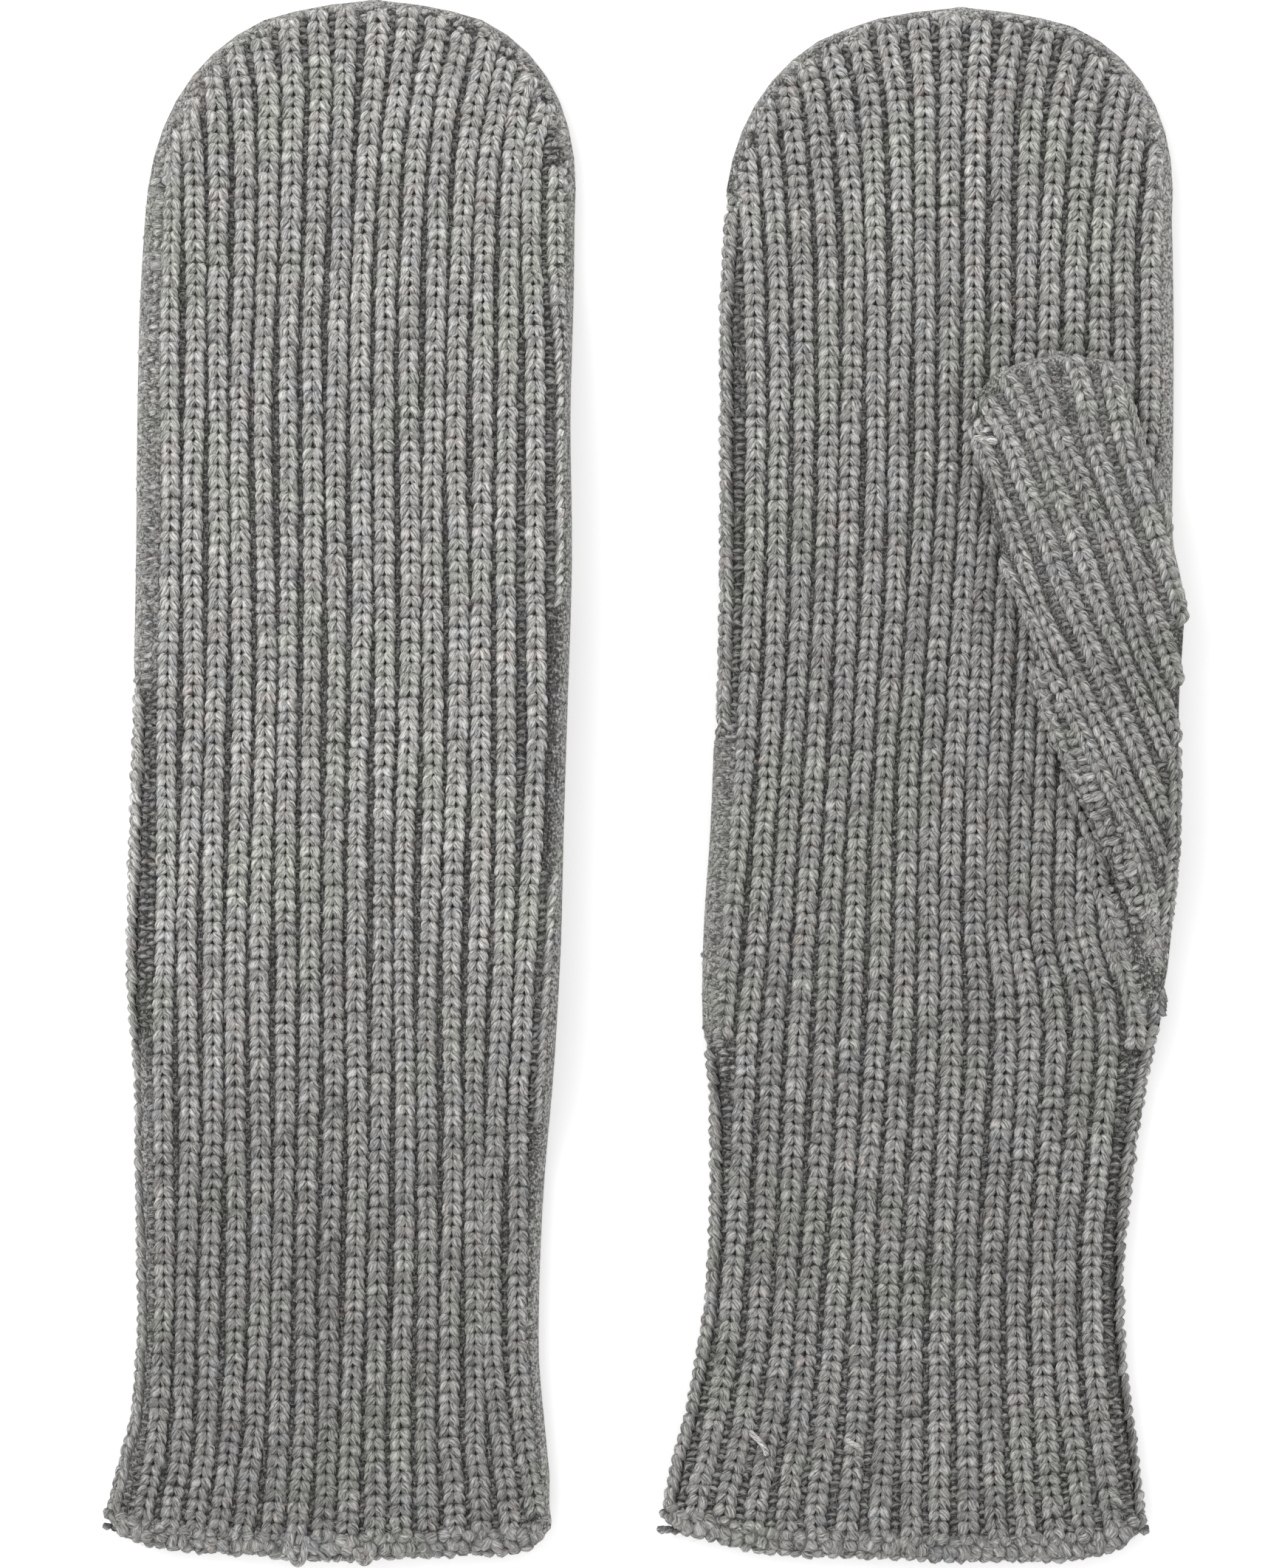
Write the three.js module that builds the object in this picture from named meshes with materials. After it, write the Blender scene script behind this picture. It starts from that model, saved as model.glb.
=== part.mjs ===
import * as THREE from "three";

// A pair of baby mittens knitted in rib, laid flat side by side with the fingertips towards +Y.
// The left one lies back up, its thumb folded underneath. The right one lies palm up, its thumb folded
// over the palm. Each face of a mitten is one layer of knitting. Millimetres, +Z up, floor at z = 0.

const layer = 2.4; // one layer of knitting, from its inside to the crest of its ribs
const gap = 0.3; // between pieces that meet
const stack = 2 * layer + gap; // a face, the gap and the other face
const ribRelief = 0.9; // rib crest above the furrow beside it
const edgeRound = 3; // a face starts to round over this far in from its outline
const edgeLip = 0.5; // thickness left at the outline
const bandHeight = 4.6; // bound-off edge at the end of the cuff
const lumpRelief = 0.5; // knobs of the bound-off edge
const scallop = 0.2; // how far each knob stands out beyond the end of the cuff
const liftFlat = 4; // the left mitten stays lifted this far outside its thumb
const liftSlope = 14; // and comes down to the floor over this distance
const thumbShift = -83.7; // from the right mitten's thumb to the left one's
const leftGrey = "#868581";
const rightGrey = "#817f7c";
const cuffGrey = "#7b7a78";
const thumbGrey = "#7f7d7a";

// sides: the outline at each height. ribs: the furrow in the middle and the spacing of the furrows to its
// left and right at each height. end: the end of the cuff, across from -1 at the left side to 1.
const left = {
  first: -7,
  last: 7,
  tip: { shoulder: 76, height: 29.8, half: 29.1, centre: -38.4, lean: 2, power: 2.36 },
  sides: [
    { y: -99.6, left: -73.4, right: -11.9 },
    { y: -94, left: -72.1, right: -12.6 },
    { y: -86, left: -69.9, right: -13.4 },
    { y: -78, left: -69.0, right: -14.1 },
    { y: -70, left: -68.7, right: -14.1 },
    { y: -54, left: -69.0, right: -13.4 },
    { y: -38, left: -69.2, right: -12.0 },
    { y: -30, left: -69.9, right: -11.5 },
    { y: -22, left: -70.0, right: -11.1 },
    { y: -6, left: -69.6, right: -10.7 },
    { y: 10, left: -69.1, right: -10.2 },
    { y: 30, left: -68.7, right: -9.6 },
    { y: 50, left: -68.5, right: -9.8 },
    { y: 66, left: -68.1, right: -9.4 },
    { y: 76, left: -67.5, right: -9.3 },
  ],
  ribs: [
    { y: -105, middle: -41.9, leftPitch: 3.68, rightPitch: 3.68 },
    { y: -97, middle: -41.6, leftPitch: 3.55, rightPitch: 3.55 },
    { y: -89, middle: -41.3, leftPitch: 3.36, rightPitch: 3.36 },
    { y: -79, middle: -41.0, leftPitch: 3.28, rightPitch: 3.28 },
    { y: -64, middle: -40.7, leftPitch: 3.23, rightPitch: 3.23 },
    { y: -24, middle: -40.5, leftPitch: 3.27, rightPitch: 3.27 },
    { y: 16, middle: -39.9, leftPitch: 3.26, rightPitch: 3.26 },
    { y: 56, middle: -39.8, leftPitch: 3.25, rightPitch: 3.25 },
    { y: 76, middle: -39.5, leftPitch: 3.27, rightPitch: 3.27 },
    { y: 86, middle: -39.2, leftPitch: 3.35, rightPitch: 3.35 },
    { y: 94, middle: -38.7, leftPitch: 3.56, rightPitch: 3.56 },
    { y: 100, middle: -38.4, leftPitch: 3.9, rightPitch: 3.9 },
    { y: 106, middle: -38.3, leftPitch: 4.2, rightPitch: 4.2 },
  ],
  end: [
    { across: -1, y: -99.8 },
    { across: -0.93, y: -102.0 },
    { across: -0.86, y: -102.9 },
    { across: -0.73, y: -103.8 },
    { across: -0.4, y: -104.7 },
    { across: -0.12, y: -105.3 },
    { across: 0.24, y: -105.3 },
    { across: 0.55, y: -104.8 },
    { across: 0.82, y: -104.4 },
    { across: 0.92, y: -103.6 },
    { across: 1, y: -101.4 },
  ],
};

const right = {
  first: -8,
  last: 7,
  tip: { shoulder: 76, height: 28.8, half: 30.35, centre: 41.05, lean: 1.8, power: 2.36 },
  sides: [
    { y: -99.6, left: 2.0, right: 68.0 },
    { y: -94, left: 3.0, right: 67.3 },
    { y: -86, left: 5.1, right: 66.3 },
    { y: -78, left: 6.7, right: 65.3 },
    { y: -70, left: 8.0, right: 64.9 },
    { y: -54, left: 8.8, right: 66.1 },
    { y: -42, left: 8.6, right: 67.9 },
    { y: -34, left: 7.9, right: 69.3 },
    { y: -22, left: 7.9, right: 71.0 },
    { y: -6, left: 8.9, right: 71.6 },
    { y: 10, left: 9.5, right: 71.6 },
    { y: 30, left: 10.0, right: 71.4 },
    { y: 50, left: 10.1, right: 71.6 },
    { y: 66, left: 10.1, right: 71.6 },
    { y: 76, left: 10.7, right: 71.4 },
  ],
  ribs: [
    { y: -105, middle: 38.3, leftPitch: 4.3, rightPitch: 3.95 },
    { y: -97, middle: 38.3, leftPitch: 4.15, rightPitch: 3.8 },
    { y: -89, middle: 38.4, leftPitch: 3.9, rightPitch: 3.62 },
    { y: -79, middle: 38.3, leftPitch: 3.63, rightPitch: 3.48 },
    { y: -64, middle: 38.7, leftPitch: 3.48, rightPitch: 3.39 },
    { y: -44, middle: 39.7, leftPitch: 3.45, rightPitch: 3.51 },
    { y: -34, middle: 40.1, leftPitch: 3.43, rightPitch: 3.55 },
    { y: -24, middle: 40.3, leftPitch: 3.34, rightPitch: 3.42 },
    { y: -4, middle: 40.7, leftPitch: 3.21, rightPitch: 3.38 },
    { y: 16, middle: 41.6, leftPitch: 3.19, rightPitch: 3.38 },
    { y: 36, middle: 42.6, leftPitch: 3.24, rightPitch: 3.38 },
    { y: 56, middle: 43.2, leftPitch: 3.26, rightPitch: 3.38 },
    { y: 76, middle: 43.5, leftPitch: 3.36, rightPitch: 3.4 },
    { y: 86, middle: 43.5, leftPitch: 3.49, rightPitch: 3.55 },
    { y: 94, middle: 43.5, leftPitch: 3.7, rightPitch: 3.78 },
    { y: 100, middle: 43.5, leftPitch: 4.12, rightPitch: 4.2 },
    { y: 106, middle: 43.5, leftPitch: 4.5, rightPitch: 4.55 },
  ],
  end: [
    { across: -1, y: -100.2 },
    { across: -0.93, y: -101.6 },
    { across: -0.85, y: -102.3 },
    { across: -0.75, y: -103.0 },
    { across: -0.66, y: -103.8 },
    { across: -0.48, y: -104.7 },
    { across: -0.1, y: -105.2 },
    { across: 0.15, y: -105.6 },
    { across: 0.5, y: -105.6 },
    { across: 0.8, y: -104.9 },
    { across: 0.9, y: -103.7 },
    { across: 1, y: -101.6 },
  ],
};

// The thumb with the wedge below it, as one leaf: its outline at each height, and the first rib with the
// spacing of the ribs to its right. The ribs follow the left side and run out at the fold on the right.
const thumb = {
  sections: [
    { y: -34, left: 69.2, right: 69.4 },
    { y: -30, left: 68.4, right: 70.0 },
    { y: -26, left: 67.4, right: 70.7 },
    { y: -22, left: 66.4, right: 71.2 },
    { y: -14, left: 63.1, right: 72.1 },
    { y: -6, left: 59.9, right: 72.6 },
    { y: 6, left: 54.4, right: 72.7 },
    { y: 12, left: 52.3, right: 72.8 },
    { y: 18, left: 51.5, right: 73.2 },
    { y: 22.3, left: 50.3, right: 73.4 },
    { y: 26.7, left: 48.6, right: 72.9 },
    { y: 32, left: 47.1, right: 71.7 },
    { y: 36, left: 45.9, right: 71.4 },
    { y: 40.8, left: 44.8, right: 70.0 },
    { y: 45.5, left: 43.4, right: 68.0 },
    { y: 50, left: 43.3, right: 66.7 },
    { y: 53.1, left: 44.8, right: 65.6 },
    { y: 56, left: 48.2, right: 63.8 },
    { y: 57.4, left: 51.8, right: 61.9 },
    { y: 58.1, left: 55.6, right: 56.4 },
  ],
  ribs: [
    { y: -34, first: 74.0, pitch: 2.4 },
    { y: -14, first: 68.4, pitch: 2.6 },
    { y: -4, first: 64.0, pitch: 3.0 },
    { y: 6, first: 59.2, pitch: 3.4 },
    { y: 16, first: 55.0, pitch: 3.7 },
    { y: 26, first: 52.4, pitch: 3.8 },
    { y: 36, first: 48.5, pitch: 3.9 },
    { y: 46, first: 44.8, pitch: 3.9 },
    { y: 58.1, first: 40.2, pitch: 3.8 },
  ],
  last: 5,
};

// A column of a table at height y, on a smooth curve through its rows.
function along(table, key, at, column) {
  let i = 0;
  while (i < table.length - 2 && at > table[i + 1][key]) i += 1;
  const a = table[i];
  const b = table[i + 1];
  const before = table[Math.max(i - 1, 0)];
  const after = table[Math.min(i + 2, table.length - 1)];
  const span = b[key] - a[key];
  const t = THREE.MathUtils.clamp((at - a[key]) / span, 0, 1);
  const slopeA = ((b[column] - before[column]) / (b[key] - before[key])) * span;
  const slopeB = ((after[column] - a[column]) / (after[key] - a[key])) * span;
  const rise = b[column] - a[column];
  return a[column] + t * (slopeA + t * (3 * rise - 2 * slopeA - slopeB + t * (slopeA + slopeB - 2 * rise)));
}

function sideX(mitten, side, y) {
  const { shoulder, height, half, centre, lean, power } = mitten.tip;
  if (y <= shoulder) return along(mitten.sides, "y", y, side < 0 ? "left" : "right");
  const t = Math.min((y - shoulder) / height, 1);
  return centre + lean * t + side * half * (1 - t ** power) ** (1 / power);
}

function endY(mitten, x) {
  const a = sideX(mitten, -1, -99.6);
  const b = sideX(mitten, 1, -99.6);
  return along(mitten.end, "across", THREE.MathUtils.clamp((2 * (x - a)) / (b - a) - 1, -1, 1), "y");
}

function ribX(mitten, number, y) {
  const pitch = along(mitten.ribs, "y", y, number < 0 ? "leftPitch" : "rightPitch");
  return along(mitten.ribs, "y", y, "middle") + number * pitch;
}

function ribNumber(mitten, x, y) {
  const offset = x - along(mitten.ribs, "y", y, "middle");
  return offset / along(mitten.ribs, "y", y, offset < 0 ? "leftPitch" : "rightPitch");
}

// 0 in a furrow, which falls on whole numbers, and 1 over the crest between two.
function crest(number) {
  return Math.min(1, 1.25 * Math.abs(Math.sin(Math.PI * number)));
}

function thumbSide(side, y) {
  return along(thumb.sections, "y", y, side < 0 ? "left" : "right");
}

// The crest of the first rib is at 0.
function thumbRibX(number, y) {
  return along(thumb.ribs, "y", y, "first") + number * along(thumb.ribs, "y", y, "pitch");
}

function thumbRibNumber(x, y) {
  return (x - along(thumb.ribs, "y", y, "first")) / along(thumb.ribs, "y", y, "pitch");
}

function polyline(makePoint, count) {
  return Array.from({ length: count + 1 }, (_, i) => makePoint(i / count));
}

function distanceTo(line, x, y) {
  let best = Infinity;
  for (let i = 1; i < line.length; i += 1) {
    const ax = line[i - 1].x;
    const ay = line[i - 1].y;
    const dx = line[i].x - ax;
    const dy = line[i].y - ay;
    const share = THREE.MathUtils.clamp(((x - ax) * dx + (y - ay) * dy) / (dx * dx + dy * dy || 1), 0, 1);
    best = Math.min(best, Math.hypot(x - ax - share * dx, y - ay - share * dy));
  }
  return best;
}

// The outline of a mitten without the end of its cuff: up the left side, over the tip, down the right side.
function mittenOutline(mitten) {
  const low = -106;
  const { shoulder, height } = mitten.tip;
  const up = (side) => (t) => {
    const y = low + (shoulder - low) * t;
    return { x: sideX(mitten, side, y), y };
  };
  const over = (side) => (t) => {
    const y = shoulder + height * Math.sin((Math.PI / 2) * t);
    return { x: sideX(mitten, side, y), y };
  };
  const half = (side) => [...polyline(up(side), 60), ...polyline(over(side), 40).slice(1)];
  return [...half(-1), ...half(1).reverse()];
}

const thumbOutline = (() => {
  const low = thumb.sections[0].y;
  const high = thumb.sections[thumb.sections.length - 1].y;
  const up = (side) => (t) => {
    const y = low + (high - low) * Math.sin((Math.PI / 2) * t);
    return { x: thumbSide(side, y), y };
  };
  return [...polyline(up(-1), 70), ...polyline(up(1), 70).reverse()];
})();

function insideThumb(x, y) {
  const low = thumb.sections[0].y;
  const high = thumb.sections[thumb.sections.length - 1].y;
  return y > low && y < high && x > thumbSide(-1, y) && x < thumbSide(1, y);
}

// How far the left mitten is lifted over the thumb folded under it.
function leftLift(x, y) {
  const away = insideThumb(x - thumbShift, y) ? 0 : distanceTo(thumbOutline, x - thumbShift, y);
  const t = THREE.MathUtils.clamp((away - liftFlat) / liftSlope, 0, 1);
  return (stack + gap) * (1 - t * t * (3 - 2 * t));
}

// 0 at the outline and 1 where the rounding ends.
function rounded(distance) {
  const t = THREE.MathUtils.clamp(distance / edgeRound, 0, 1);
  return Math.sqrt(1 - (1 - t) ** 2);
}

// Two neighbouring rows of points joined by triangles, each point with its place across.
function joinRows(low, high, triangles) {
  let i = 0;
  let j = 0;
  while (i < low.length - 1 || j < high.length - 1) {
    const nextLow = i < low.length - 1 ? low[i + 1].place + low[i].place : Infinity;
    const nextHigh = j < high.length - 1 ? high[j + 1].place + high[j].place : Infinity;
    if (nextLow <= nextHigh) {
      triangles.push([low[i], low[i + 1], high[j]]);
      i += 1;
    } else {
      triangles.push([low[i], high[j + 1], high[j]]);
      j += 1;
    }
  }
}

// One closed wall: outside and inside rows run from the cuff to the tip, points from left to right.
// The outside lies over the inside, or under it when facesDown.
function wallGeometry(outside, inside, facesDown) {
  const triangles = [];
  const under = [];
  const last = outside.length - 1;
  for (let r = 0; r < last; r += 1) {
    joinRows(outside[r], outside[r + 1], triangles);
    joinRows(inside[r], inside[r + 1], under);
    const ends = [outside[r][0], outside[r + 1][0], inside[r + 1][0], inside[r][0]];
    triangles.push([ends[0], ends[1], ends[2]], [ends[0], ends[2], ends[3]]);
    const others = [outside[r].at(-1), outside[r + 1].at(-1), inside[r + 1].at(-1), inside[r].at(-1)];
    triangles.push([others[0], others[2], others[1]], [others[0], others[3], others[2]]);
  }
  for (let c = 0; c < outside[0].length - 1; c += 1) {
    const first = [outside[0][c], inside[0][c], inside[0][c + 1], outside[0][c + 1]];
    triangles.push([first[0], first[1], first[2]], [first[0], first[2], first[3]]);
    const final = [outside[last][c], inside[last][c], inside[last][c + 1], outside[last][c + 1]];
    triangles.push([final[0], final[2], final[1]], [final[0], final[3], final[2]]);
  }
  for (const [a, b, c] of under) triangles.push([a, c, b]);
  const numbers = new Map();
  const positions = [];
  const index = [];
  const numberOf = (p) => {
    const key = [p.x, p.y, p.z].map((v) => v.toFixed(3)).join();
    if (!numbers.has(key)) {
      numbers.set(key, numbers.size);
      positions.push(p.x, p.y, p.z);
    }
    return numbers.get(key);
  };
  for (const triangle of triangles) {
    const [a, b, c] = triangle.map(numberOf);
    if (a === b || b === c || c === a) continue;
    index.push(a, ...(facesDown ? [c, b] : [b, c]));
  }
  const geometry = new THREE.BufferGeometry();
  geometry.setAttribute("position", new THREE.Float32BufferAttribute(positions, 3));
  geometry.setIndex(index);
  geometry.computeVertexNormals();
  return geometry;
}

// Rows of the outside from a function of column and row, and rows of the inside on fewer columns.
function wallFrom({ columns, coarse, rows, pointAt, outsideZ, insideZ, facesDown }) {
  const make = (c, r, height) => {
    const { x, y } = pointAt(columns[c], rows[r]);
    return { x, y, z: height(x, y), place: pointAt(columns[c], 0.5).x };
  };
  const all = columns.map((_, c) => c);
  const last = rows.length - 1;
  const outside = rows.map((_, r) => all.map((c) => make(c, r, outsideZ)));
  const inside = rows.map((_, r) => (r === 0 || r === last ? all : coarse).map((c) => make(c, r, insideZ)));
  return wallGeometry(outside, inside, facesDown);
}

const edgeInsets = [0, 0.35, 1.1, 2.4];

// The columns of a face: along the left outline, to the first furrow, rib by rib, and on to the right.
function faceColumns(mitten, perRib) {
  const shares = [0.35, 0.7];
  const columns = edgeInsets.map((inset) => ({ side: -1, inset, share: 0 }));
  columns.push(...shares.map((share) => ({ side: -1, inset: 2.4, share })));
  const coarse = [0, columns.length - 2];
  for (let n = mitten.first; n < mitten.last; n += 1) {
    if ((n - mitten.first) % 2 === 0) coarse.push(columns.length);
    columns.push(...perRib.map((part) => ({ number: n + part })));
  }
  coarse.push(columns.length);
  columns.push({ number: mitten.last });
  columns.push(...shares.toReversed().map((share) => ({ side: 1, inset: 2.4, share })));
  coarse.push(columns.length - 1);
  columns.push(...edgeInsets.toReversed().map((inset) => ({ side: 1, inset, share: 0 })));
  coarse.push(columns.length - 1);
  return { columns, coarse };
}

function columnX(mitten, column, y) {
  if (column.number !== undefined) return ribX(mitten, column.number, y);
  const { side, inset, share } = column;
  const number = side < 0 ? mitten.first : mitten.last;
  const low = Math.min(y, mitten.tip.shoulder);
  const edge = sideX(mitten, side, low) - side * inset;
  const fan = ribX(mitten, number, y) - ribX(mitten, number, low);
  return edge + share * (ribX(mitten, number, low) - edge) + fan;
}

// The height at which a column leaves the outline at the tip.
function columnTop(mitten, column) {
  const { shoulder, height } = mitten.tip;
  let low = shoulder;
  let high = shoulder + height;
  for (let i = 0; i < 40; i += 1) {
    const y = (low + high) / 2;
    const x = columnX(mitten, column, y);
    if (x > sideX(mitten, -1, y) && x < sideX(mitten, 1, y)) low = y;
    else high = y;
  }
  return column.inset === 0 ? shoulder : low;
}

function columnBottom(mitten, column, above) {
  let y = -100;
  for (let i = 0; i < 6; i += 1) y = endY(mitten, columnX(mitten, column, y)) + above;
  return y;
}

const tipSteps = 7;

// Rows are 0 at the cuff end, 1 at the shoulder and 2 at the tip.
function faceRows(bodyRows) {
  const body = Array.from({ length: bodyRows + 1 }, (_, i) => i / bodyRows);
  const tip = Array.from({ length: tipSteps }, (_, i) => 2 - (1 - (i + 1) / tipSteps) ** 2);
  return [...body, ...tip];
}

function makeFace(mitten, { facesDown, bodyRows, perRib, lift }) {
  const outline = mittenOutline(mitten);
  const { columns, coarse } = faceColumns(mitten, perRib);
  for (const column of columns) {
    column.bottom = columnBottom(mitten, column, bandHeight + gap);
    column.top = columnTop(mitten, column);
  }
  const pointAt = (column, row) => {
    const { shoulder } = mitten.tip;
    const body = column.bottom + (shoulder - column.bottom) * Math.min(row, 1);
    const y = body + (column.top - shoulder) * Math.max(row - 1, 0);
    return { x: columnX(mitten, column, y), y };
  };
  const over = (x, y) => {
    const edge = rounded(distanceTo(outline, x, y));
    const furrow = ribRelief * edge * (1 - crest(ribNumber(mitten, x, y)));
    return lift(x, y) + layer + gap + edgeLip + (layer - edgeLip) * edge - furrow;
  };
  const under = (x, y) => lift(x, y) + (layer - edgeLip) * (1 - rounded(distanceTo(outline, x, y)));
  return wallFrom({
    columns,
    coarse,
    rows: faceRows(bodyRows),
    pointAt,
    outsideZ: facesDown ? under : over,
    insideZ: (x, y) => lift(x, y) + (facesDown ? layer : layer + gap),
    facesDown,
  });
}

// The bound-off edge at the end of the cuff, two knobs to a rib.
function makeBand(mitten, { facesDown, perRib }) {
  const { columns, coarse } = faceColumns(mitten, perRib);
  const knob = (x, y) => Math.sin(2 * Math.PI * ribNumber(mitten, x, y)) ** 2;
  const pointAt = (column, row) => {
    let y = columnBottom(mitten, column, row * bandHeight);
    if (row === 0 && !column.side && !facesDown) y -= scallop * knob(columnX(mitten, column, y), y);
    return { x: columnX(mitten, column, y), y };
  };
  const edgeAt = (x, y) => {
    const ends = Math.max(y - endY(mitten, x), 0);
    return rounded(Math.min(ends * 1.5, x - sideX(mitten, -1, y), sideX(mitten, 1, y) - x));
  };
  const over = (x, y) => {
    const edge = edgeAt(x, y);
    return layer + gap + edgeLip + (layer - edgeLip) * edge - lumpRelief * edge * (1 - knob(x, y));
  };
  return wallFrom({
    columns,
    coarse,
    rows: [0, 0.13, 0.5, 1],
    pointAt,
    outsideZ: facesDown ? (x, y) => (layer - edgeLip) * (1 - edgeAt(x, y)) : over,
    insideZ: () => (facesDown ? layer : layer + gap),
    facesDown,
  });
}

function thumbColumnX(column, y) {
  if (column.number !== undefined) return thumbRibX(column.number, y);
  const edge = thumbSide(-1, Math.min(y, 45.5)) - Math.max(y - 45.5, 0) * 0.35;
  return edge + column.inset + column.share * (thumbRibX(0, y) - edge - column.inset);
}

// The stretch of a column that lies inside the outline.
function thumbSpan(column) {
  const within = (y) => insideThumb(thumbColumnX(column, y), y);
  const refine = (inner, outer) => {
    let a = inner;
    let b = outer;
    for (let i = 0; i < 30; i += 1) {
      const middle = (a + b) / 2;
      if (within(middle)) a = middle;
      else b = middle;
    }
    return a;
  };
  const heights = Array.from({ length: 461 }, (_, i) => -34 + i * 0.2);
  const found = heights.filter(within);
  return { low: refine(found[0], found[0] - 0.2), high: refine(found.at(-1), found.at(-1) + 0.2) };
}

function makeThumb({ base, shift, facesDown, ribbed }) {
  const columns = [{ outline: -1 }, { inset: 0.35, share: 0 }, { inset: 1.1, share: 0 }];
  columns.push({ inset: 1.1, share: 0.5 }, { number: 0 });
  for (let n = 0.5; n < thumb.last; n += 1) {
    columns.push({ number: n }, { number: n + 0.3 }, { number: n + 0.7 });
  }
  for (const column of columns.slice(1)) Object.assign(column, thumbSpan(column));
  const lastColumn = columns.at(-1);
  columns[0].low = thumb.sections[0].y;
  columns[0].high = 45.5;
  columns.push({ outline: 1, low: lastColumn.low + 1.5, high: lastColumn.high - 1 });
  const pointAt = (column, row) => {
    const y = column.low + (column.high - column.low) * row;
    return { x: column.outline ? thumbSide(column.outline, y) : thumbColumnX(column, y), y };
  };
  const edgeAt = (x, y) => rounded(distanceTo(thumbOutline, x, y));
  const furrowAt = (x, y) => {
    const number = thumbRibNumber(x, y);
    return ribbed && number > 0 ? ribRelief * edgeAt(x, y) * (1 - crest(number + 0.5)) : 0;
  };
  const over = (x, y) => {
    return base + layer + gap + edgeLip + (layer - edgeLip) * edgeAt(x, y) - furrowAt(x, y);
  };
  const under = (x, y) => base + (layer - edgeLip) * (1 - edgeAt(x, y)) + furrowAt(x, y);
  const geometry = wallFrom({
    columns,
    coarse: [0, 4, 10, 16, columns.length - 1],
    rows: [0, 0.03, 0.1, 0.23, 0.37, 0.52, 0.67, 0.82, 0.92, 0.97, 0.99, 1],
    pointAt,
    outsideZ: facesDown ? under : over,
    insideZ: () => base + (facesDown ? layer : layer + gap),
    facesDown,
  });
  return geometry.translate(shift, 0, 0);
}

const pair = new THREE.Group();
pair.name = "baby_mittens";

function addPiece(name, geometry, color) {
  const material = new THREE.MeshStandardMaterial({ color, roughness: 0.95, metalness: 0 });
  material.name = name;
  const mesh = new THREE.Mesh(geometry, material);
  mesh.name = name;
  pair.add(mesh);
}

const flat = () => 0;
const ribPoints = [0, 0.3, 0.7];
const knobPoints = [0, 0.25, 0.5, 0.75];
const upper = { facesDown: false, perRib: ribPoints };
const lower = { facesDown: true, perRib: [0] };
addPiece("left_back", makeFace(left, { ...upper, bodyRows: 16, lift: leftLift }), leftGrey);
addPiece("left_palm", makeFace(left, { ...lower, bodyRows: 16, lift: leftLift }), leftGrey);
addPiece("right_palm", makeFace(right, { ...upper, bodyRows: 10, lift: flat }), rightGrey);
addPiece("right_back", makeFace(right, { ...lower, bodyRows: 10, lift: flat }), rightGrey);
for (const [name, mitten, top, under] of [
  ["left", left, "back", "palm"],
  ["right", right, "palm", "back"],
]) {
  addPiece(`${name}_edge_${top}`, makeBand(mitten, { facesDown: false, perRib: knobPoints }), cuffGrey);
  addPiece(`${name}_edge_${under}`, makeBand(mitten, { facesDown: true, perRib: [0] }), cuffGrey);
}
const overPalm = { base: stack + gap, shift: 0, ribbed: true };
addPiece("right_thumb_upper", makeThumb({ ...overPalm, facesDown: false }), thumbGrey);
addPiece("right_thumb_lower", makeThumb({ ...overPalm, facesDown: true }), thumbGrey);
const underPalm = { base: 0, shift: thumbShift };
addPiece("left_thumb_upper", makeThumb({ ...underPalm, facesDown: false, ribbed: true }), thumbGrey);
addPiece("left_thumb_lower", makeThumb({ ...underPalm, facesDown: true, ribbed: false }), thumbGrey);

export default pair;
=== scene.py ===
import math

import bmesh
import bpy
import numpy as np
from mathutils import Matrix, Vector


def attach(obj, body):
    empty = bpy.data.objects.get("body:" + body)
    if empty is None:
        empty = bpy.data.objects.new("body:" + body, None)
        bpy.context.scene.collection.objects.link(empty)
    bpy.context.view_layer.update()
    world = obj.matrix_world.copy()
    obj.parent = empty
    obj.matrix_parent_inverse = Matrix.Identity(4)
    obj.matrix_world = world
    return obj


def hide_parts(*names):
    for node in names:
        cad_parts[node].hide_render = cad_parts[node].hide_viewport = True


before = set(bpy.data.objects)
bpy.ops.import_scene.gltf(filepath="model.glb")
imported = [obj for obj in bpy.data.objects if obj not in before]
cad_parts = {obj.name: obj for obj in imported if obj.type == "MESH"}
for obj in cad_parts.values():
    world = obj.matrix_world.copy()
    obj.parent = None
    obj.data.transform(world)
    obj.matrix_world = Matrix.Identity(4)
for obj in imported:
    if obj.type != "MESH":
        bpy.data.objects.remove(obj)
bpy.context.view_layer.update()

mm = 0.001

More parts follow.
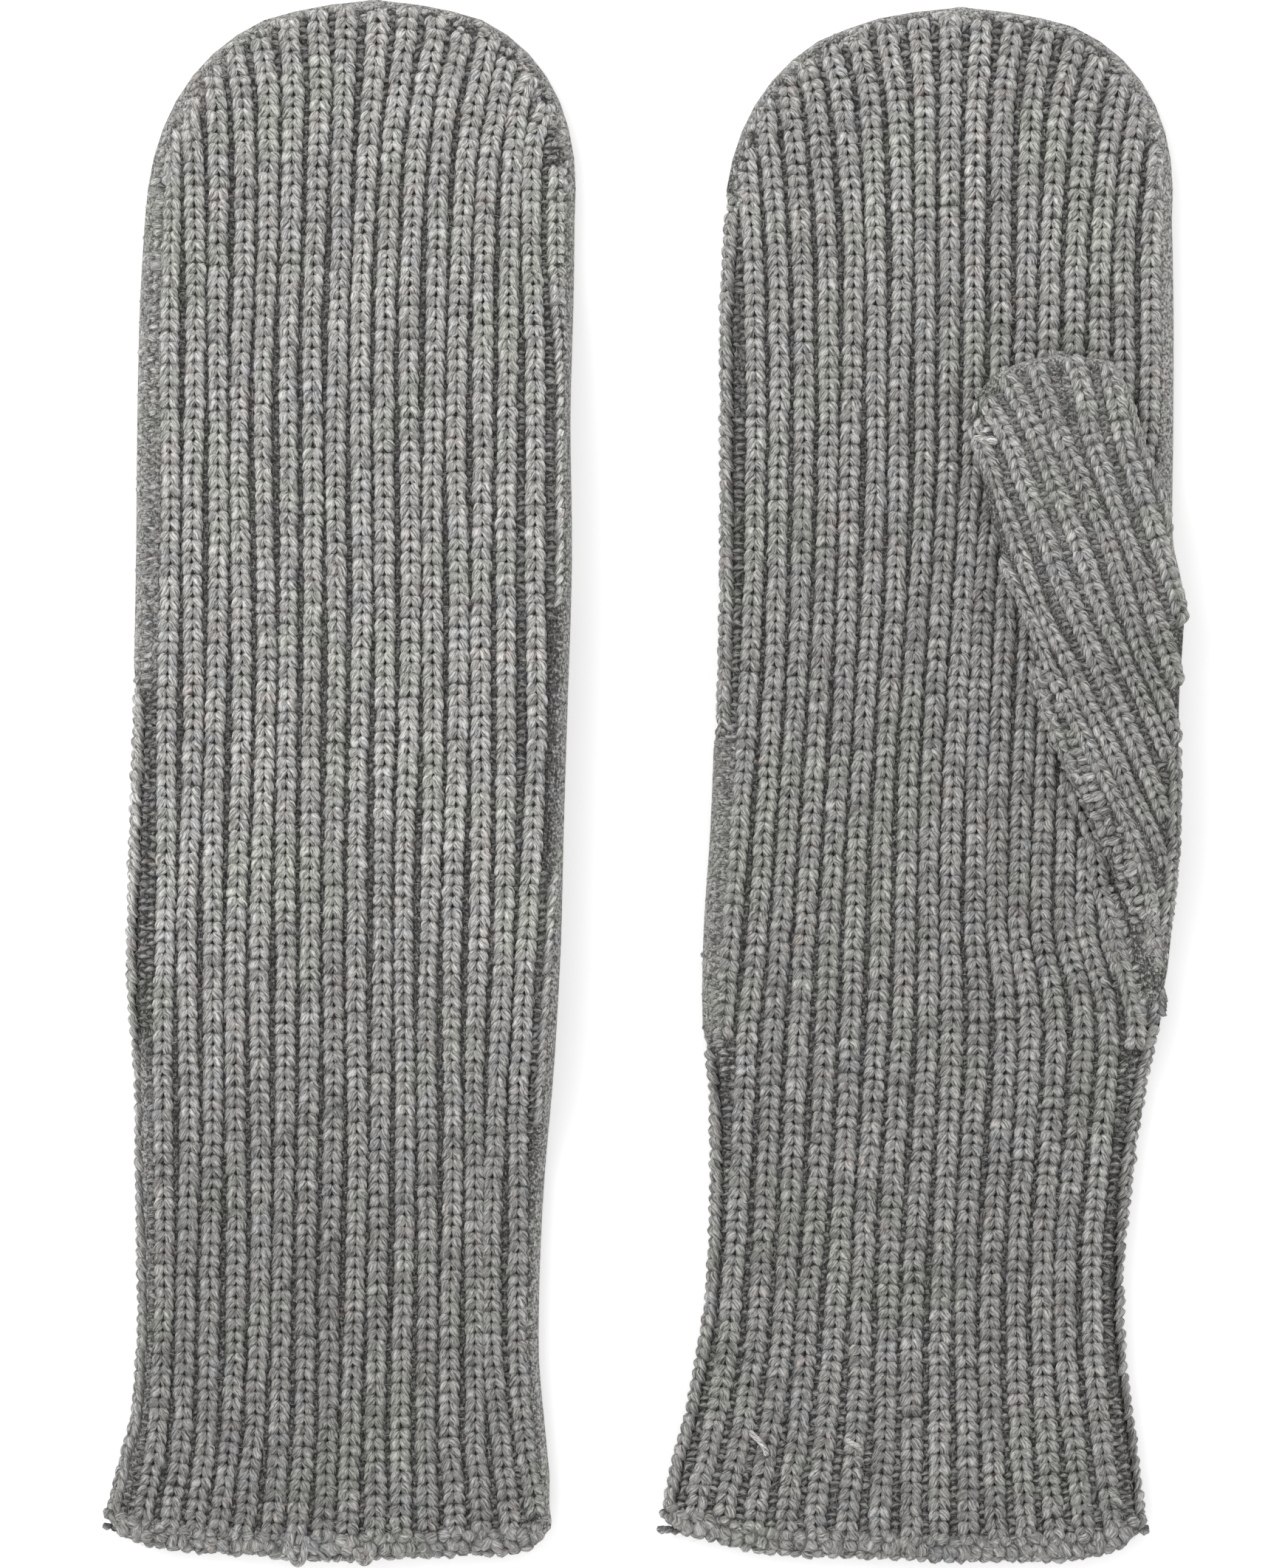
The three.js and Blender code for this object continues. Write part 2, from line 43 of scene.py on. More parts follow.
# The two mittens, in millimetres. tip: the rounded part above the shoulder. sides: the outline at each
# height. ribs: the furrow in the middle, the spacing of the furrows on both sides of it, how far inside the
# outline the outermost ribs lie, and how far those near the right side stray. first, last: the numbers of
# the furrows. edges: where a rib runs along a side; elsewhere how far in the first rib lies, and whether purl
# lies beside it. soft: felted sides, each with its side, two heights, a strength and a width. tipEnd: how far
# below the tip the ribs stop. tone: lighter or darker with height. end: the cuff's end, from -1 at its left
# to 1 at its right.
leftMitten = {
    "name": "left",
    "tip": {"shoulder": 76, "height": 29.8, "half": 29.1, "centre": -38.4, "lean": 2.0, "power": 2.36},
    "sides": {
        "y": [-99.6, -94, -86, -78, -70, -54, -38, -30, -22, -6, 10, 30, 50, 66, 76],
        "left": [-73.4, -72.1, -69.9, -69.0, -68.7, -69.0, -69.2, -69.9, -70.0, -69.6, -69.1, -68.7, -68.5,
                 -68.1, -67.5],
        "right": [-11.9, -12.6, -13.4, -14.1, -14.1, -13.4, -12.0, -11.5, -11.1, -10.7, -10.2, -9.6, -9.8,
                  -9.4, -9.3],
    },
    "ribs": {
        "y": [-105, -97, -89, -79, -64, -24, 16, 56, 76, 86, 94, 100, 106],
        "middle": [-41.9, -41.5, -41.2, -40.9, -40.6, -40.3, -39.7, -39.6, -39.3, -39.0, -38.5, -38.2, -38.1],
        "leftPitch": [3.55, 3.42, 3.27, 3.24, 3.23, 3.27, 3.26, 3.25, 3.27, 3.35, 3.56, 3.9, 4.2],
        "rightPitch": [3.68, 3.55, 3.36, 3.28, 3.23, 3.27, 3.26, 3.25, 3.27, 3.35, 3.56, 3.9, 4.2],
        "leftEdge": [0.9, 0.8, 0.5, 0.2, 0.0, 0.2, 0.0, 0.0, 0.0, 0.0, 0.0, 0.0, 0.0],
        "rightEdge": [0.2, 0.0, 0.0, 0.0, 0.0, 0.4, -0.2, -0.3, -0.3, -0.3, -0.3, -0.3, -0.3],
        "rightStray": [-0.1, -0.1, -0.2, -1.1, -1.3, 0.0, 1.1, 0.6, -0.6, -0.9, -0.7, -0.5, 0.0],
    },
    "first": -8,
    "last": 9,
    "edges": {
        "left": {"spans": [(-106, 12)], "bare": 3.0, "purl": True},
        "right": {"spans": [], "bare": 0.45, "purl": False},
    },
    "soft": [(-1, -120, -32, 0.55, 1.2), (-1, 10, 100, 0.6, 2.2), (1, -120, 100, 0.62, 0.6)],
    "tipEnd": 1.8,
    "tone": {"y": [-105, -50, -20, 70, 105], "shade": [-0.4, -0.24, -0.04, 0.0, 0.02]},
    "end": {
        "across": [-1, -0.93, -0.86, -0.73, -0.4, -0.12, 0.24, 0.55, 0.82, 0.92, 1],
        "y": [-99.8, -102.0, -102.9, -103.8, -104.7, -105.3, -105.3, -104.8, -104.4, -103.6, -101.4],
    },
}
rightMitten = {
    "name": "right",
    "tip": {"shoulder": 76, "height": 28.8, "half": 30.35, "centre": 41.05, "lean": 1.8, "power": 2.36},
    "sides": {
        "y": [-99.6, -94, -86, -78, -70, -54, -42, -34, -22, -6, 10, 30, 50, 66, 76],
        "left": [2.0, 3.0, 5.1, 6.7, 8.0, 8.8, 8.6, 7.9, 7.9, 8.9, 9.5, 10.0, 10.1, 10.1, 10.7],
        "right": [68.0, 67.3, 66.3, 65.3, 64.9, 66.1, 67.9, 69.3, 71.0, 71.6, 71.6, 71.4, 71.6, 71.6, 71.4],
    },
    "ribs": {
        "y": [-105, -97, -89, -79, -64, -44, -34, -24, -4, 16, 36, 56, 76, 86, 94, 100, 106],
        "middle": [38.1, 38.0, 38.1, 38.0, 38.4, 39.4, 39.8, 40.0, 40.4, 41.3, 42.3, 42.8, 43.1, 43.1, 43.2,
                   43.3, 43.4],
        "leftPitch": [4.3, 4.15, 3.9, 3.63, 3.48, 3.45, 3.43, 3.34, 3.21, 3.19, 3.24, 3.26, 3.36, 3.49, 3.7,
                      4.12, 4.5],
        "rightPitch": [3.95, 3.8, 3.62, 3.48, 3.39, 3.51, 3.55, 3.42, 3.38, 3.38, 3.38, 3.38, 3.4, 3.55,
                       3.78, 4.2, 4.55],
        "leftEdge": [0.1, 0.1, 0.1, 0.2, 0.3, 0.3, 0.3, 0.3, 0.4, 0.4, 0.4, 0.4, 0.3, 0.1, 0.0, 0.0, 0.0],
        "rightEdge": [0.0, 0.0, 0.0, 0.1, 0.2, 0.5, 0.2, 0.1, 0.0, 0.0, 0.0, 0.0, 0.0, 0.0, 0.0, 0.0, 0.0],
    },
    "first": -9,
    "last": 9,
    "edges": {
        "left": {"spans": [(-106, -36), (8, 77)], "bare": 2.6, "purl": True},
        "right": {"spans": [(-106, -30)], "bare": 0.9, "purl": False},
    },
    "soft": [(1, -12, 100, 0.62, 1.2), (-1, -39, 11, 0.6, 1.8)],
    "tipEnd": 0.8,
    "tone": {"y": [-105, -50, -20, 40, 70, 105], "shade": [-0.37, -0.31, -0.3, -0.18, -0.11, -0.07]},
    "end": {
        "across": [-1, -0.93, -0.85, -0.75, -0.66, -0.48, -0.1, 0.15, 0.5, 0.8, 0.9, 1],
        "y": [-100.2, -101.6, -102.3, -103.0, -103.8, -104.7, -105.2, -105.6, -105.6, -104.9, -103.7, -101.6],
    },
}

# The thumb with the wedge below it, folded over the palm of the right mitten: its outline, and its ribs,
# each from where it starts at the base to where it ends at the tip. A rib runs out at the fold on the right.
thumbShape = {
    "outline": {
        "y": [-34, -30, -26, -22, -14, -6, 6, 12, 18, 22.3, 26.7, 32, 36, 40.8, 45.5, 50, 53.1, 56, 57.4,
              58.1],
        "left": [69.2, 68.4, 67.4, 66.4, 63.1, 59.9, 54.4, 52.3, 51.5, 50.3, 48.6, 47.1, 45.9, 44.8, 43.4,
                 43.3, 44.8, 48.2, 51.8, 55.6],
        "right": [69.4, 70.0, 70.7, 71.2, 72.1, 72.6, 72.7, 72.8, 73.2, 73.4, 72.9, 71.7, 71.4, 70.0, 68.0,
                  66.7, 65.6, 63.8, 61.9, 56.4],
    },
    "ribs": {
        "y": [-35, -26, -20, -14, -8, -2, 4, 10, 15.5, 22, 27.6, 34, 40, 46, 52, 58.1],
        "edge": [67.3, 65.3, 63.8, 61.7, 60.7, 58.3, 55.8, 53.4, 52.1, 51.0, 49.1, 47.3, 46.3, 44.9, 43.4,
                 42.0],
        "a0": [68.6, 68.5, 68.7, 68.0, 66.0, 63.2, 60.0, 57.0, 54.4, 51.5, 49.0, 46.3, 45.3, 43.6, 42.0,
               40.5],
        "a": [72.6, 72.4, 71.3, 70.5, 68.9, 65.9, 63.2, 60.1, 57.5, 54.0, 51.7, 49.3, 47.1, 44.6, 42.2, 40.0],
        "b": [76.0, 75.0, 74.0, 72.3, 71.0, 69.0, 66.6, 63.8, 61.3, 58.5, 55.9, 53.6, 51.1, 48.8, 45.6, 42.4],
        "c": [79.0, 78.0, 76.8, 75.5, 74.0, 72.5, 70.1, 67.5, 65.0, 62.2, 60.2, 57.9, 55.3, 52.9, 49.9, 46.5],
        "d": [82.0, 81.0, 80.0, 78.5, 77.0, 75.0, 72.8, 70.2, 67.6, 65.4, 63.8, 61.7, 59.1, 56.4, 54.1, 52.0],
        "e": [85.0, 84.0, 83.0, 82.0, 80.5, 78.5, 76.2, 73.9, 71.3, 68.8, 66.9, 64.4, 62.3, 60.1, 59.1, 57.5],
        "f": [88.0, 87.0, 86.0, 85.0, 83.5, 82.0, 80.0, 77.8, 75.3, 72.8, 70.8, 68.6, 66.5, 64.5, 63.4, 62.4],
    },
    "foldRib": (-31, 4), "foldLine": (33, 51),
    "gather": [(44.6, 48.2, 60), (45.6, 47.3, 20), (46.4, 48.6, 130), (45.0, 46.2, 175), (46.6, 46.0, 170),
               (44.4, 44.8, 100), (45.8, 50.0, 95), (47.4, 47.4, 55), (44.2, 50.4, 70)],
    "starts": {"edge": -34, "a0": -27, "a": -30, "b": -34, "c": -34, "d": -34, "e": -34, "f": -34},
    "ends": {"edge": 18, "a0": 40, "a": 60, "b": 60, "c": 60, "d": 60, "e": 60, "f": 60},
    "tone": {"y": [-34, 10, 60], "shade": [-0.3, -0.27, -0.19]},
    "shift": -83.7,
}

# wall: how thick the cloth behind the stitches is. cuffTop: the height where the cuff's stitches end.
cloth = {
    "layer": 2.4, "gap": 0.3, "relief": 0.95, "roll": 2.2, "course": 1.5, "band": 4.3,
    "floor": 0.12, "endRoll": 2.6, "wall": 1.4, "cuffTop": -30,
}
stack = 2 * cloth["layer"] + 2 * cloth["gap"]  # the two layers of a tube with their gaps
bothSides = ((-1, "left"), (1, "right"))


# A smooth curve through one column of a table, held level beyond its ends.
def curve(table, column, at, key="y"):
    keys = np.asarray(table[key], float)
    values = np.asarray(table[column], float)
    at = np.clip(np.asarray(at, float), keys[0], keys[-1])
    slopes = np.gradient(values, keys)
    i = np.clip(np.searchsorted(keys, at, side="right") - 1, 0, len(keys) - 2)
    span = keys[i + 1] - keys[i]
    t = (at - keys[i]) / span
    rise = values[i + 1] - values[i]
    a = slopes[i] * span
    b = slopes[i + 1] * span
    return values[i] + t * (a + t * (3 * rise - 2 * a - b + t * (a + b - 2 * rise)))


# Numbers up to 1 that crowd towards it, from 0, or from -1 crowding towards both ends.
def crowded(count, both=False):
    return np.sin(np.linspace(-math.pi / 2 if both else 0, math.pi / 2, count))


# How far along a row of places each one is.
def lengthAlong(place):
    return np.concatenate([[0], np.cumsum(np.linalg.norm(np.diff(place, axis=0), axis=1))])


# Where each run of yes starts in a row of yes and no, and where it stops.
def runs(keep):
    marks = np.flatnonzero(np.diff(np.concatenate([[0], keep.astype(int), [0]])))
    return zip(marks[::2], marks[1::2])


def sideX(mitten, side, y):
    tip = mitten["tip"]
    y = np.asarray(y, float)
    straight = curve(mitten["sides"], "left" if side < 0 else "right", y)
    t = np.clip((y - tip["shoulder"]) / tip["height"], 0, 1)
    bow = (1 - t ** tip["power"]) ** (1 / tip["power"])
    rounded = tip["centre"] + tip["lean"] * t + side * tip["half"] * bow
    return np.where(y <= tip["shoulder"], straight, rounded)


def endY(mitten, x):
    a = sideX(mitten, -1, -99.6)
    b = sideX(mitten, 1, -99.6)
    return curve(mitten["end"], "y", np.clip(2 * (x - a) / (b - a) - 1, -1, 1), key="across")


def ribX(mitten, number, y):
    pitch = curve(mitten["ribs"], "leftPitch" if number < 0 else "rightPitch", y)
    return curve(mitten["ribs"], "middle", y) + number * pitch


def mittenOutline(mitten):
    tip = mitten["tip"]
    low = np.linspace(-112, tip["shoulder"], 90)
    high = tip["shoulder"] + tip["height"] * crowded(60)[1:]
    y = np.concatenate([low, high])
    left = np.column_stack([sideX(mitten, -1, y), y])
    right = np.column_stack([sideX(mitten, 1, y), y])
    return np.vstack([left, right[::-1]])


def thumbOutline():
    table = thumbShape["outline"]
    low, high = table["y"][0], table["y"][-1]
    y = low + (high - low) * crowded(90)
    left = np.column_stack([curve(table, "left", y), y])
    right = np.column_stack([curve(table, "right", y), y])
    return np.vstack([left, right[::-1]])


# Distance inside an outline, negative outside, with the direction inwards.
def inward(line, x, y, closed=False):
    p = np.column_stack([np.ravel(x), np.ravel(y)]).astype(float)
    ends = np.vstack([line, line[:1]]) if closed else line
    a = ends[:-1]
    d = ends[1:] - a
    length = np.maximum((d ** 2).sum(1), 1e-9)
    best = np.full(len(p), 1e9)
    near = np.zeros_like(p)
    inside = np.zeros(len(p), bool)
    loop = np.vstack([line, line[:1]])
    (ax, ay), (bx, by) = loop[:-1].T, loop[1:].T
    tall = np.where(by == ay, 1.0, by - ay)
    for start in range(0, len(p), 2000):
        part = p[start:start + 2000]
        away = part[:, None, :] - a[None]
        t = np.clip((away * d[None]).sum(2) / length, 0, 1)
        foot = a[None] + t[..., None] * d[None]
        distance = np.hypot(*(part[:, None, :] - foot).transpose(2, 0, 1))
        k = distance.argmin(1)
        rows = np.arange(len(part))
        best[start:start + 2000] = distance[rows, k]
        near[start:start + 2000] = foot[rows, k]
        px, py = part[:, :1], part[:, 1:]
        crosses = ((ay > py) != (by > py)) & (px < ax + (py - ay) * (bx - ax) / tall)
        inside[start:start + 2000] = crosses.sum(1) % 2 == 1
    sign = np.where(inside, 1.0, -1.0)
    direction = (p - near) * sign[:, None] / np.maximum(best, 1e-6)[:, None]
    return best * sign, direction


thumbLine = thumbOutline()


# Rises gently from 0 to 1.
def smooth(t):
    t = np.clip(t, 0, 1)
    return t * t * (3 - 2 * t)


# How much higher a face lies at a place. The left mitten lies on its thumb.
def leftLift(x, y):
    distance, _ = inward(thumbLine, np.asarray(x) - thumbShape["shift"], y, closed=True)
    return stack * (1 - smooth((-distance - 4) / 14))


def noLift(x, y):
    return np.zeros(np.size(x))


# The palm rises to the wedge below the thumb.
def palmLift(x, y):
    x, y = np.ravel(x), np.ravel(y)
    distance, _ = inward(thumbLine, x, y, closed=True)
    return 2.4 * smooth((2 - y) / 16) * smooth((y + 48) / 14) * (1 - smooth((-distance + 0.5) / 8))


# The thumb comes down to the palm where its wedge ends.
def thumbDrop(x, y):
    return -4.3 * smooth((-6 - np.ravel(y)) / 26)


# Where a point at x, y lies on the furrow level of a face, and which way the face looks there. The cloth
# rolls over along the outline, and the cuff's end is rounded too.
def onFace(form, x, y):
    x = np.ravel(np.asarray(x, float))
    y = np.ravel(np.asarray(y, float))
    distance, direction = inward(form["line"], x, y, form["closed"])
    relief, lift, up = form["relief"], form["lift"], form["up"]
    out = 1 - np.clip(distance / (relief + form["roll"]), 0, 1)
    rise = np.sqrt(np.clip(1 - out ** 2, 0, 1))
    below = np.zeros(len(x))
    if form["mitten"]:
        below = 1 - np.clip((y - endY(form["mitten"], x)) / cloth["endRoll"], 0, 1)
    endRise = np.sqrt(np.clip(1 - below ** 2, 0, 1))
    shift = relief * out - np.minimum(distance, 0)
    px = x + direction[:, 0] * shift
    py = y + direction[:, 1] * shift + relief * below
    z = form["middle"] + up * form["height"] * rise * endRise + lift(x, y)
    slopeX = lift(x + 0.5, y) - lift(x - 0.5, y)
    slopeY = lift(x, y + 0.5) - lift(x, y - 0.5)
    flat = rise * endRise
    normal = np.column_stack([
        -direction[:, 0] * out * endRise - up * slopeX * flat,
        -direction[:, 1] * out * endRise - below * rise - up * slopeY * flat,
        up * flat,
    ])
    normal /= np.maximum(np.linalg.norm(normal, axis=1), 1e-6)[:, None]
    return np.column_stack([px, py, z]), normal


def faceForm(mitten, up, lift):
    return {
        "line": mittenLines[mitten["name"]], "closed": False,
        "relief": cloth["relief"], "roll": cloth["roll"],
        "middle": cloth["layer"] + cloth["gap"] / 2, "up": up, "lift": lift, "mitten": mitten,
        "height": cloth["layer"] + cloth["gap"] / 2 - cloth["relief"] - (cloth["floor"] if up < 0 else 0),
        "felt": (74, 90, 1.8), "tone": mitten["tone"],
    }


def thumbForm(base, up, shift):
    return {
        "line": thumbLine + np.array([[shift, 0]]), "closed": True,
        "relief": cloth["relief"] * 0.9, "roll": 2.0,
        "middle": base + cloth["layer"] + cloth["gap"] / 2, "up": up, "mitten": None, "shift": shift,
        "lift": noLift if base == 0 else thumbDrop,
        "height": cloth["layer"] + cloth["gap"] / 2 - cloth["relief"] - (cloth["floor"] if base == 0 else 0),
        "felt": (48, 56, 2.2), "tone": thumbShape["tone"],
    }


mittenLines = {m["name"]: mittenOutline(m) for m in (leftMitten, rightMitten)}


# The bare purl wedge between the palm and the thumb's first rib.
wedge = {"low": -31.0, "high": 12.0, "row": 1.2, "bump": 1.5, "lean": 24, "felt": 0.3, "tint": 0.24}


# Where a rib of the thumb lies.
def wedgeX(name, y):
    return curve(thumbShape["ribs"], name, y)


# How far the cloth is felted smooth at a place: at the tip near the outline, on the thumb along its fold
# too, and on the cast-off end of the cuff.
def feltAt(form, x, y):
    low, high, reach = form["felt"]
    x, y = np.ravel(x), np.ravel(y)
    distance, direction = inward(form["line"], x, y, form["closed"])
    felt = 0.65 * smooth((y - low) / (high - low)) * (1 - smooth((distance - 0.2) / reach))
    if form["mitten"]:
        for side, start, stop, strength, wide in form["mitten"]["soft"] if form["up"] > 0 else []:
            soft = strength * (1 - smooth((distance - wide) / (wide + 0.8))) * (direction[:, 0] * side < -0.4)
            felt = np.maximum(felt, soft * smooth((stop - y) / 6) * smooth((y - start) / 6))
        if form["mitten"] is rightMitten and form["up"] > 0:
            onWedge = wedge["felt"] * smooth((x - wedgeX("edge", y)) / 1.2) * smooth((6 - y) / 6)
            felt = np.maximum(felt, onWedge * smooth((y - wedge["low"] + 3) / 4))
        return np.maximum(felt, 0.5 * (1 - smooth((y - endY(form["mitten"], x) - 3.4) / 1.2)))
    fold = 0.7 * (1 - smooth((distance - 0.4) / 1.8)) * (direction[:, 0] < -0.2) * smooth((y - 20) / 8)
    bare = wedge["felt"] * smooth((12 - y) / 8) * smooth((wedgeX("a", y) + form["shift"] - x) / 1.5)
    return np.maximum(np.maximum(felt, np.maximum(fold, bare)), 0.1 + 0.16 * smooth((y - 15) / 20))


# How far the cloth fills out from furrow level, as a share of a rib's height: felted places, and the outline
# where no rib runs along it.
def bulgeAt(form, x, y):
    felt = feltAt(form, x, y) * 0.62
    mitten = form["mitten"]
    if not mitten or form["up"] < 0:
        return felt
    x, y = np.ravel(x), np.ravel(y)
    distance, direction = inward(form["line"], x, y)
    near = 1 - smooth((distance - 0.6) / 2.2)
    bare = 0.65 * smooth((y - 76) / 6)
    for side, heading in (("left", 1), ("right", -1)):
        here = 1.0
        for low, high in mitten["edges"][side]["spans"]:
            here = here * np.maximum(smooth((low + 2 - y) / 4), smooth((y - high + 2) / 4))
        bare = np.maximum(bare, here * (direction[:, 0] * heading > 0.4))
    return np.maximum(felt, 0.95 * near * bare * smooth((y + 99) / 4))


# A set of stitches: where each lies, which way it runs and faces, its size, its colour and its template.
def stitchSet(rng, place, along, out, size, tint, kinds=None):
    count = len(place)
    return {
        "place": place, "along": along, "out": out, "size": size, "tint": np.clip(tint, 0, 1),
        "seed": rng.uniform(0, 1, count),
        "kind": rng.integers(0, kinds or stitchShape["variants"], count).astype(np.int32),
    }


# Sizes that vary about a mean, for each of the three directions.
def sizes(rng, count, *spreads):
    return np.column_stack([rng.normal(mean, spread, count) for mean, spread in spreads])


def joined(parts):
    return {key: np.concatenate([p[key] for p in parts]) for key in parts[0]}


def pick(points, keep):
    return {key: values[keep] for key, values in points.items()}


# A rib between two heights: stitches a course apart along its own length, each with the directions there.
def ribPoints(form, rib, rng):
    tone = rng.normal(0, 0.025)
    course, lineX = cloth["course"], rib["x"]
    y = np.linspace(rib["low"], rib["high"], max(int((rib["high"] - rib["low"]) / 0.2), 6))
    run = lengthAlong(onFace(form, lineX(y), y)[0])
    marks = np.arange(rng.uniform(0.1, 0.9) * course, run[-1], course)
    marks = np.clip(marks + rng.normal(0, 0.07, len(marks)), 0, run[-1])
    at = np.interp(marks, run, y)
    count = len(at)
    side = rng.normal(0, 0.05, count) + 0.16 * np.sin(at * rng.uniform(0.05, 0.12) + rng.uniform(0, 6.28))
    place, out = onFace(form, lineX(at) + side, at)
    ahead, _ = onFace(form, lineX(at + 0.2) + side, at + 0.2)
    behind, _ = onFace(form, lineX(at - 0.2) + side, at - 0.2)
    along = ahead - behind
    along /= np.maximum(np.linalg.norm(along, axis=1), 1e-6)[:, None]
    along[:, 0] += rng.normal(0, 0.06, count)
    place = place + out * rib.get("raised", 0.0)
    out = out + rng.normal(0, 0.05, out.shape)
    felt = feltAt(form, lineX(at), at)
    size = np.column_stack([
        np.clip(rib["pitch"](at) / 3.3, 0.6, 1.1) * rng.normal(1, 0.03, count) * (1 - 0.15 * felt),
        rng.normal(1, 0.05, count),
        rng.normal(1, 0.06, count) * (1 - 0.3 * felt),
    ])
    tone = tone + curve(form["tone"], "shade", at) + 0.1 * felt
    return stitchSet(rng, place, along, out, size, 0.5 + tone + rng.normal(0, 0.06, count))


# Purl bumps in the furrows: each lies across, between two ribs, wider where the ribs stand further apart.
# rib: what the ribs take up of the room between them. wide: from where on the bumps lie closer along it.
furrow = {"level": 0.25, "narrow": 2.4, "rib": 2.1, "bump": 1.5, "wide": 3.7, "felted": 0.85}


def furrowPoints(form, ribs, low, high, rng, step=1.5, dense=0.95):
    spots, widths, gaps, newest = [], [], [], {}
    for y in np.arange(low, high, furrow["level"]):
        here = sorted(float(r["x"](y)) for r in ribs if r["low"] - 0.5 <= y <= r["high"] + 0.5)
        for a, b in zip(here[:-1], here[1:]):
            gap = b - a
            if gap < furrow["narrow"]:
                continue
            count = max(1, int(round((gap - 2.3) / furrow["bump"])))
            each = (gap - furrow["rib"]) / count
            wanted = dense if gap > furrow["wide"] else step
            for n in range(count):
                x = a + furrow["rib"] / 2 + each * (n + 0.5)
                key = (round(x / 1.1), n)
                if y - newest.get(key, -999) < wanted * rng.uniform(0.8, 1.25):
                    continue
                if any(abs(x - sx) < 0.8 and abs(y - sy) < wanted * 0.7 for sx, sy in spots[-60:]):
                    continue
                newest[key] = y
                spots.append((x, y))
                widths.append(min(max(each, 0.9), 1.9))
                gaps.append(gap)
    x, y = np.array(spots).T
    widths, count = np.array(widths), len(x)
    x = x + rng.normal(0, 0.07, count)
    place, out = onFace(form, x, y)
    ahead, _ = onFace(form, x, y + 0.2)
    behind, _ = onFace(form, x, y - 0.2)
    along = ahead - behind + rng.normal(0, 0.15, place.shape)
    felt = feltAt(form, x, y)
    sunk = (0.22 * smooth((1.5 - widths) / 0.5))[:, None]
    place = place + out * (np.maximum(bulgeAt(form, x, y) - 0.3, 0) * form["relief"])[:, None]
    place = place - out / np.linalg.norm(out, axis=1)[:, None] * sunk
    size = np.column_stack([widths / 1.25 * rng.normal(1, 0.15, count), rng.normal(1.1, 0.2, count),
                            np.clip(widths, 0.9, 1.5) / 1.05 * rng.normal(1, 0.25, count)])
    # painted shade: the purl bumps are far darker than the ribs, most where they are narrow between close
    # ribs; wide furrows and felt lighten them
    tint = (0.05 + 0.22 * smooth((widths - 1.2) / 0.5) + 0.5 * felt
            + 0.3 * smooth((np.array(gaps) - 4.3) / 0.9) + rng.normal(0, 0.1, count))
    points = stitchSet(rng, place, along, out, size, tint, stitchShape["purlVariants"])
    return pick(points, felt < furrow["felted"])


def newMesh(name, points, faces=()):
    mesh = bpy.data.meshes.new(name)
    mesh.from_pydata((np.array(points) * mm).tolist(), [], faces)
    return mesh


def setAttribute(mesh, key, values):
    values = np.asarray(values)
    kind = "INT" if values.dtype.kind == "i" else "FLOAT_VECTOR" if values.ndim == 2 else "FLOAT"
    layer = mesh.attributes.new(key, kind, "POINT")
    layer.data.foreach_set("vector" if kind == "FLOAT_VECTOR" else "value", values.ravel())


# Turns a mesh's faces outwards and shades them smooth. A welded one first loses what lies together.
def finishMesh(mesh, weld=False):
    work = bmesh.new()
    work.from_mesh(mesh)
    if weld:
        bmesh.ops.remove_doubles(work, verts=work.verts, dist=0.01 * mm)
        bmesh.ops.dissolve_degenerate(work, edges=work.edges, dist=0.005 * mm)
    bmesh.ops.recalc_face_normals(work, faces=work.faces)
    for face in work.faces:
        face.smooth = True
    work.to_mesh(mesh)
    work.free()
    return mesh


# Adds one node to a tree: its settings first, then the values or links of its sockets.
def addNode(tree, kind, settings, sockets):
    made = tree.nodes.new(kind)
    for key, value in (settings or {}).items():
        setattr(made, key, value)
    for key, value in (sockets or {}).items():
        value = value.socket if isinstance(value, Wire) else value
        if isinstance(value, bpy.types.NodeSocket):
            tree.links.new(value, made.inputs[key])
        else:
            made.inputs[key].default_value = value
    return made


# Sums on a wire add Math nodes to the material.
class Wire:
    def __init__(self, shader, socket):
        self.shader = shader
        self.socket = socket

    def math(self, operation, *values):
        return self.shader.node("ShaderNodeMath", {"operation": operation}, dict(enumerate(values)))

    def __add__(self, other):
        return self.math("ADD", self, other)

    def __mul__(self, other):
        return self.math("MULTIPLY", self, other)

    def __sub__(self, other):
        return self.math("SUBTRACT", self, other)

    def __rsub__(self, other):
        return self.math("SUBTRACT", other, self)

    def limit(self):
        return self.math("MINIMUM", self.math("MAXIMUM", self, 0.0), 1.0)

    def ramp(self, low, high):
        return self.shader.node("ShaderNodeMapRange", {"interpolation_type": "SMOOTHSTEP"},
                                {"Value": self, "From Min": low, "From Max": high})


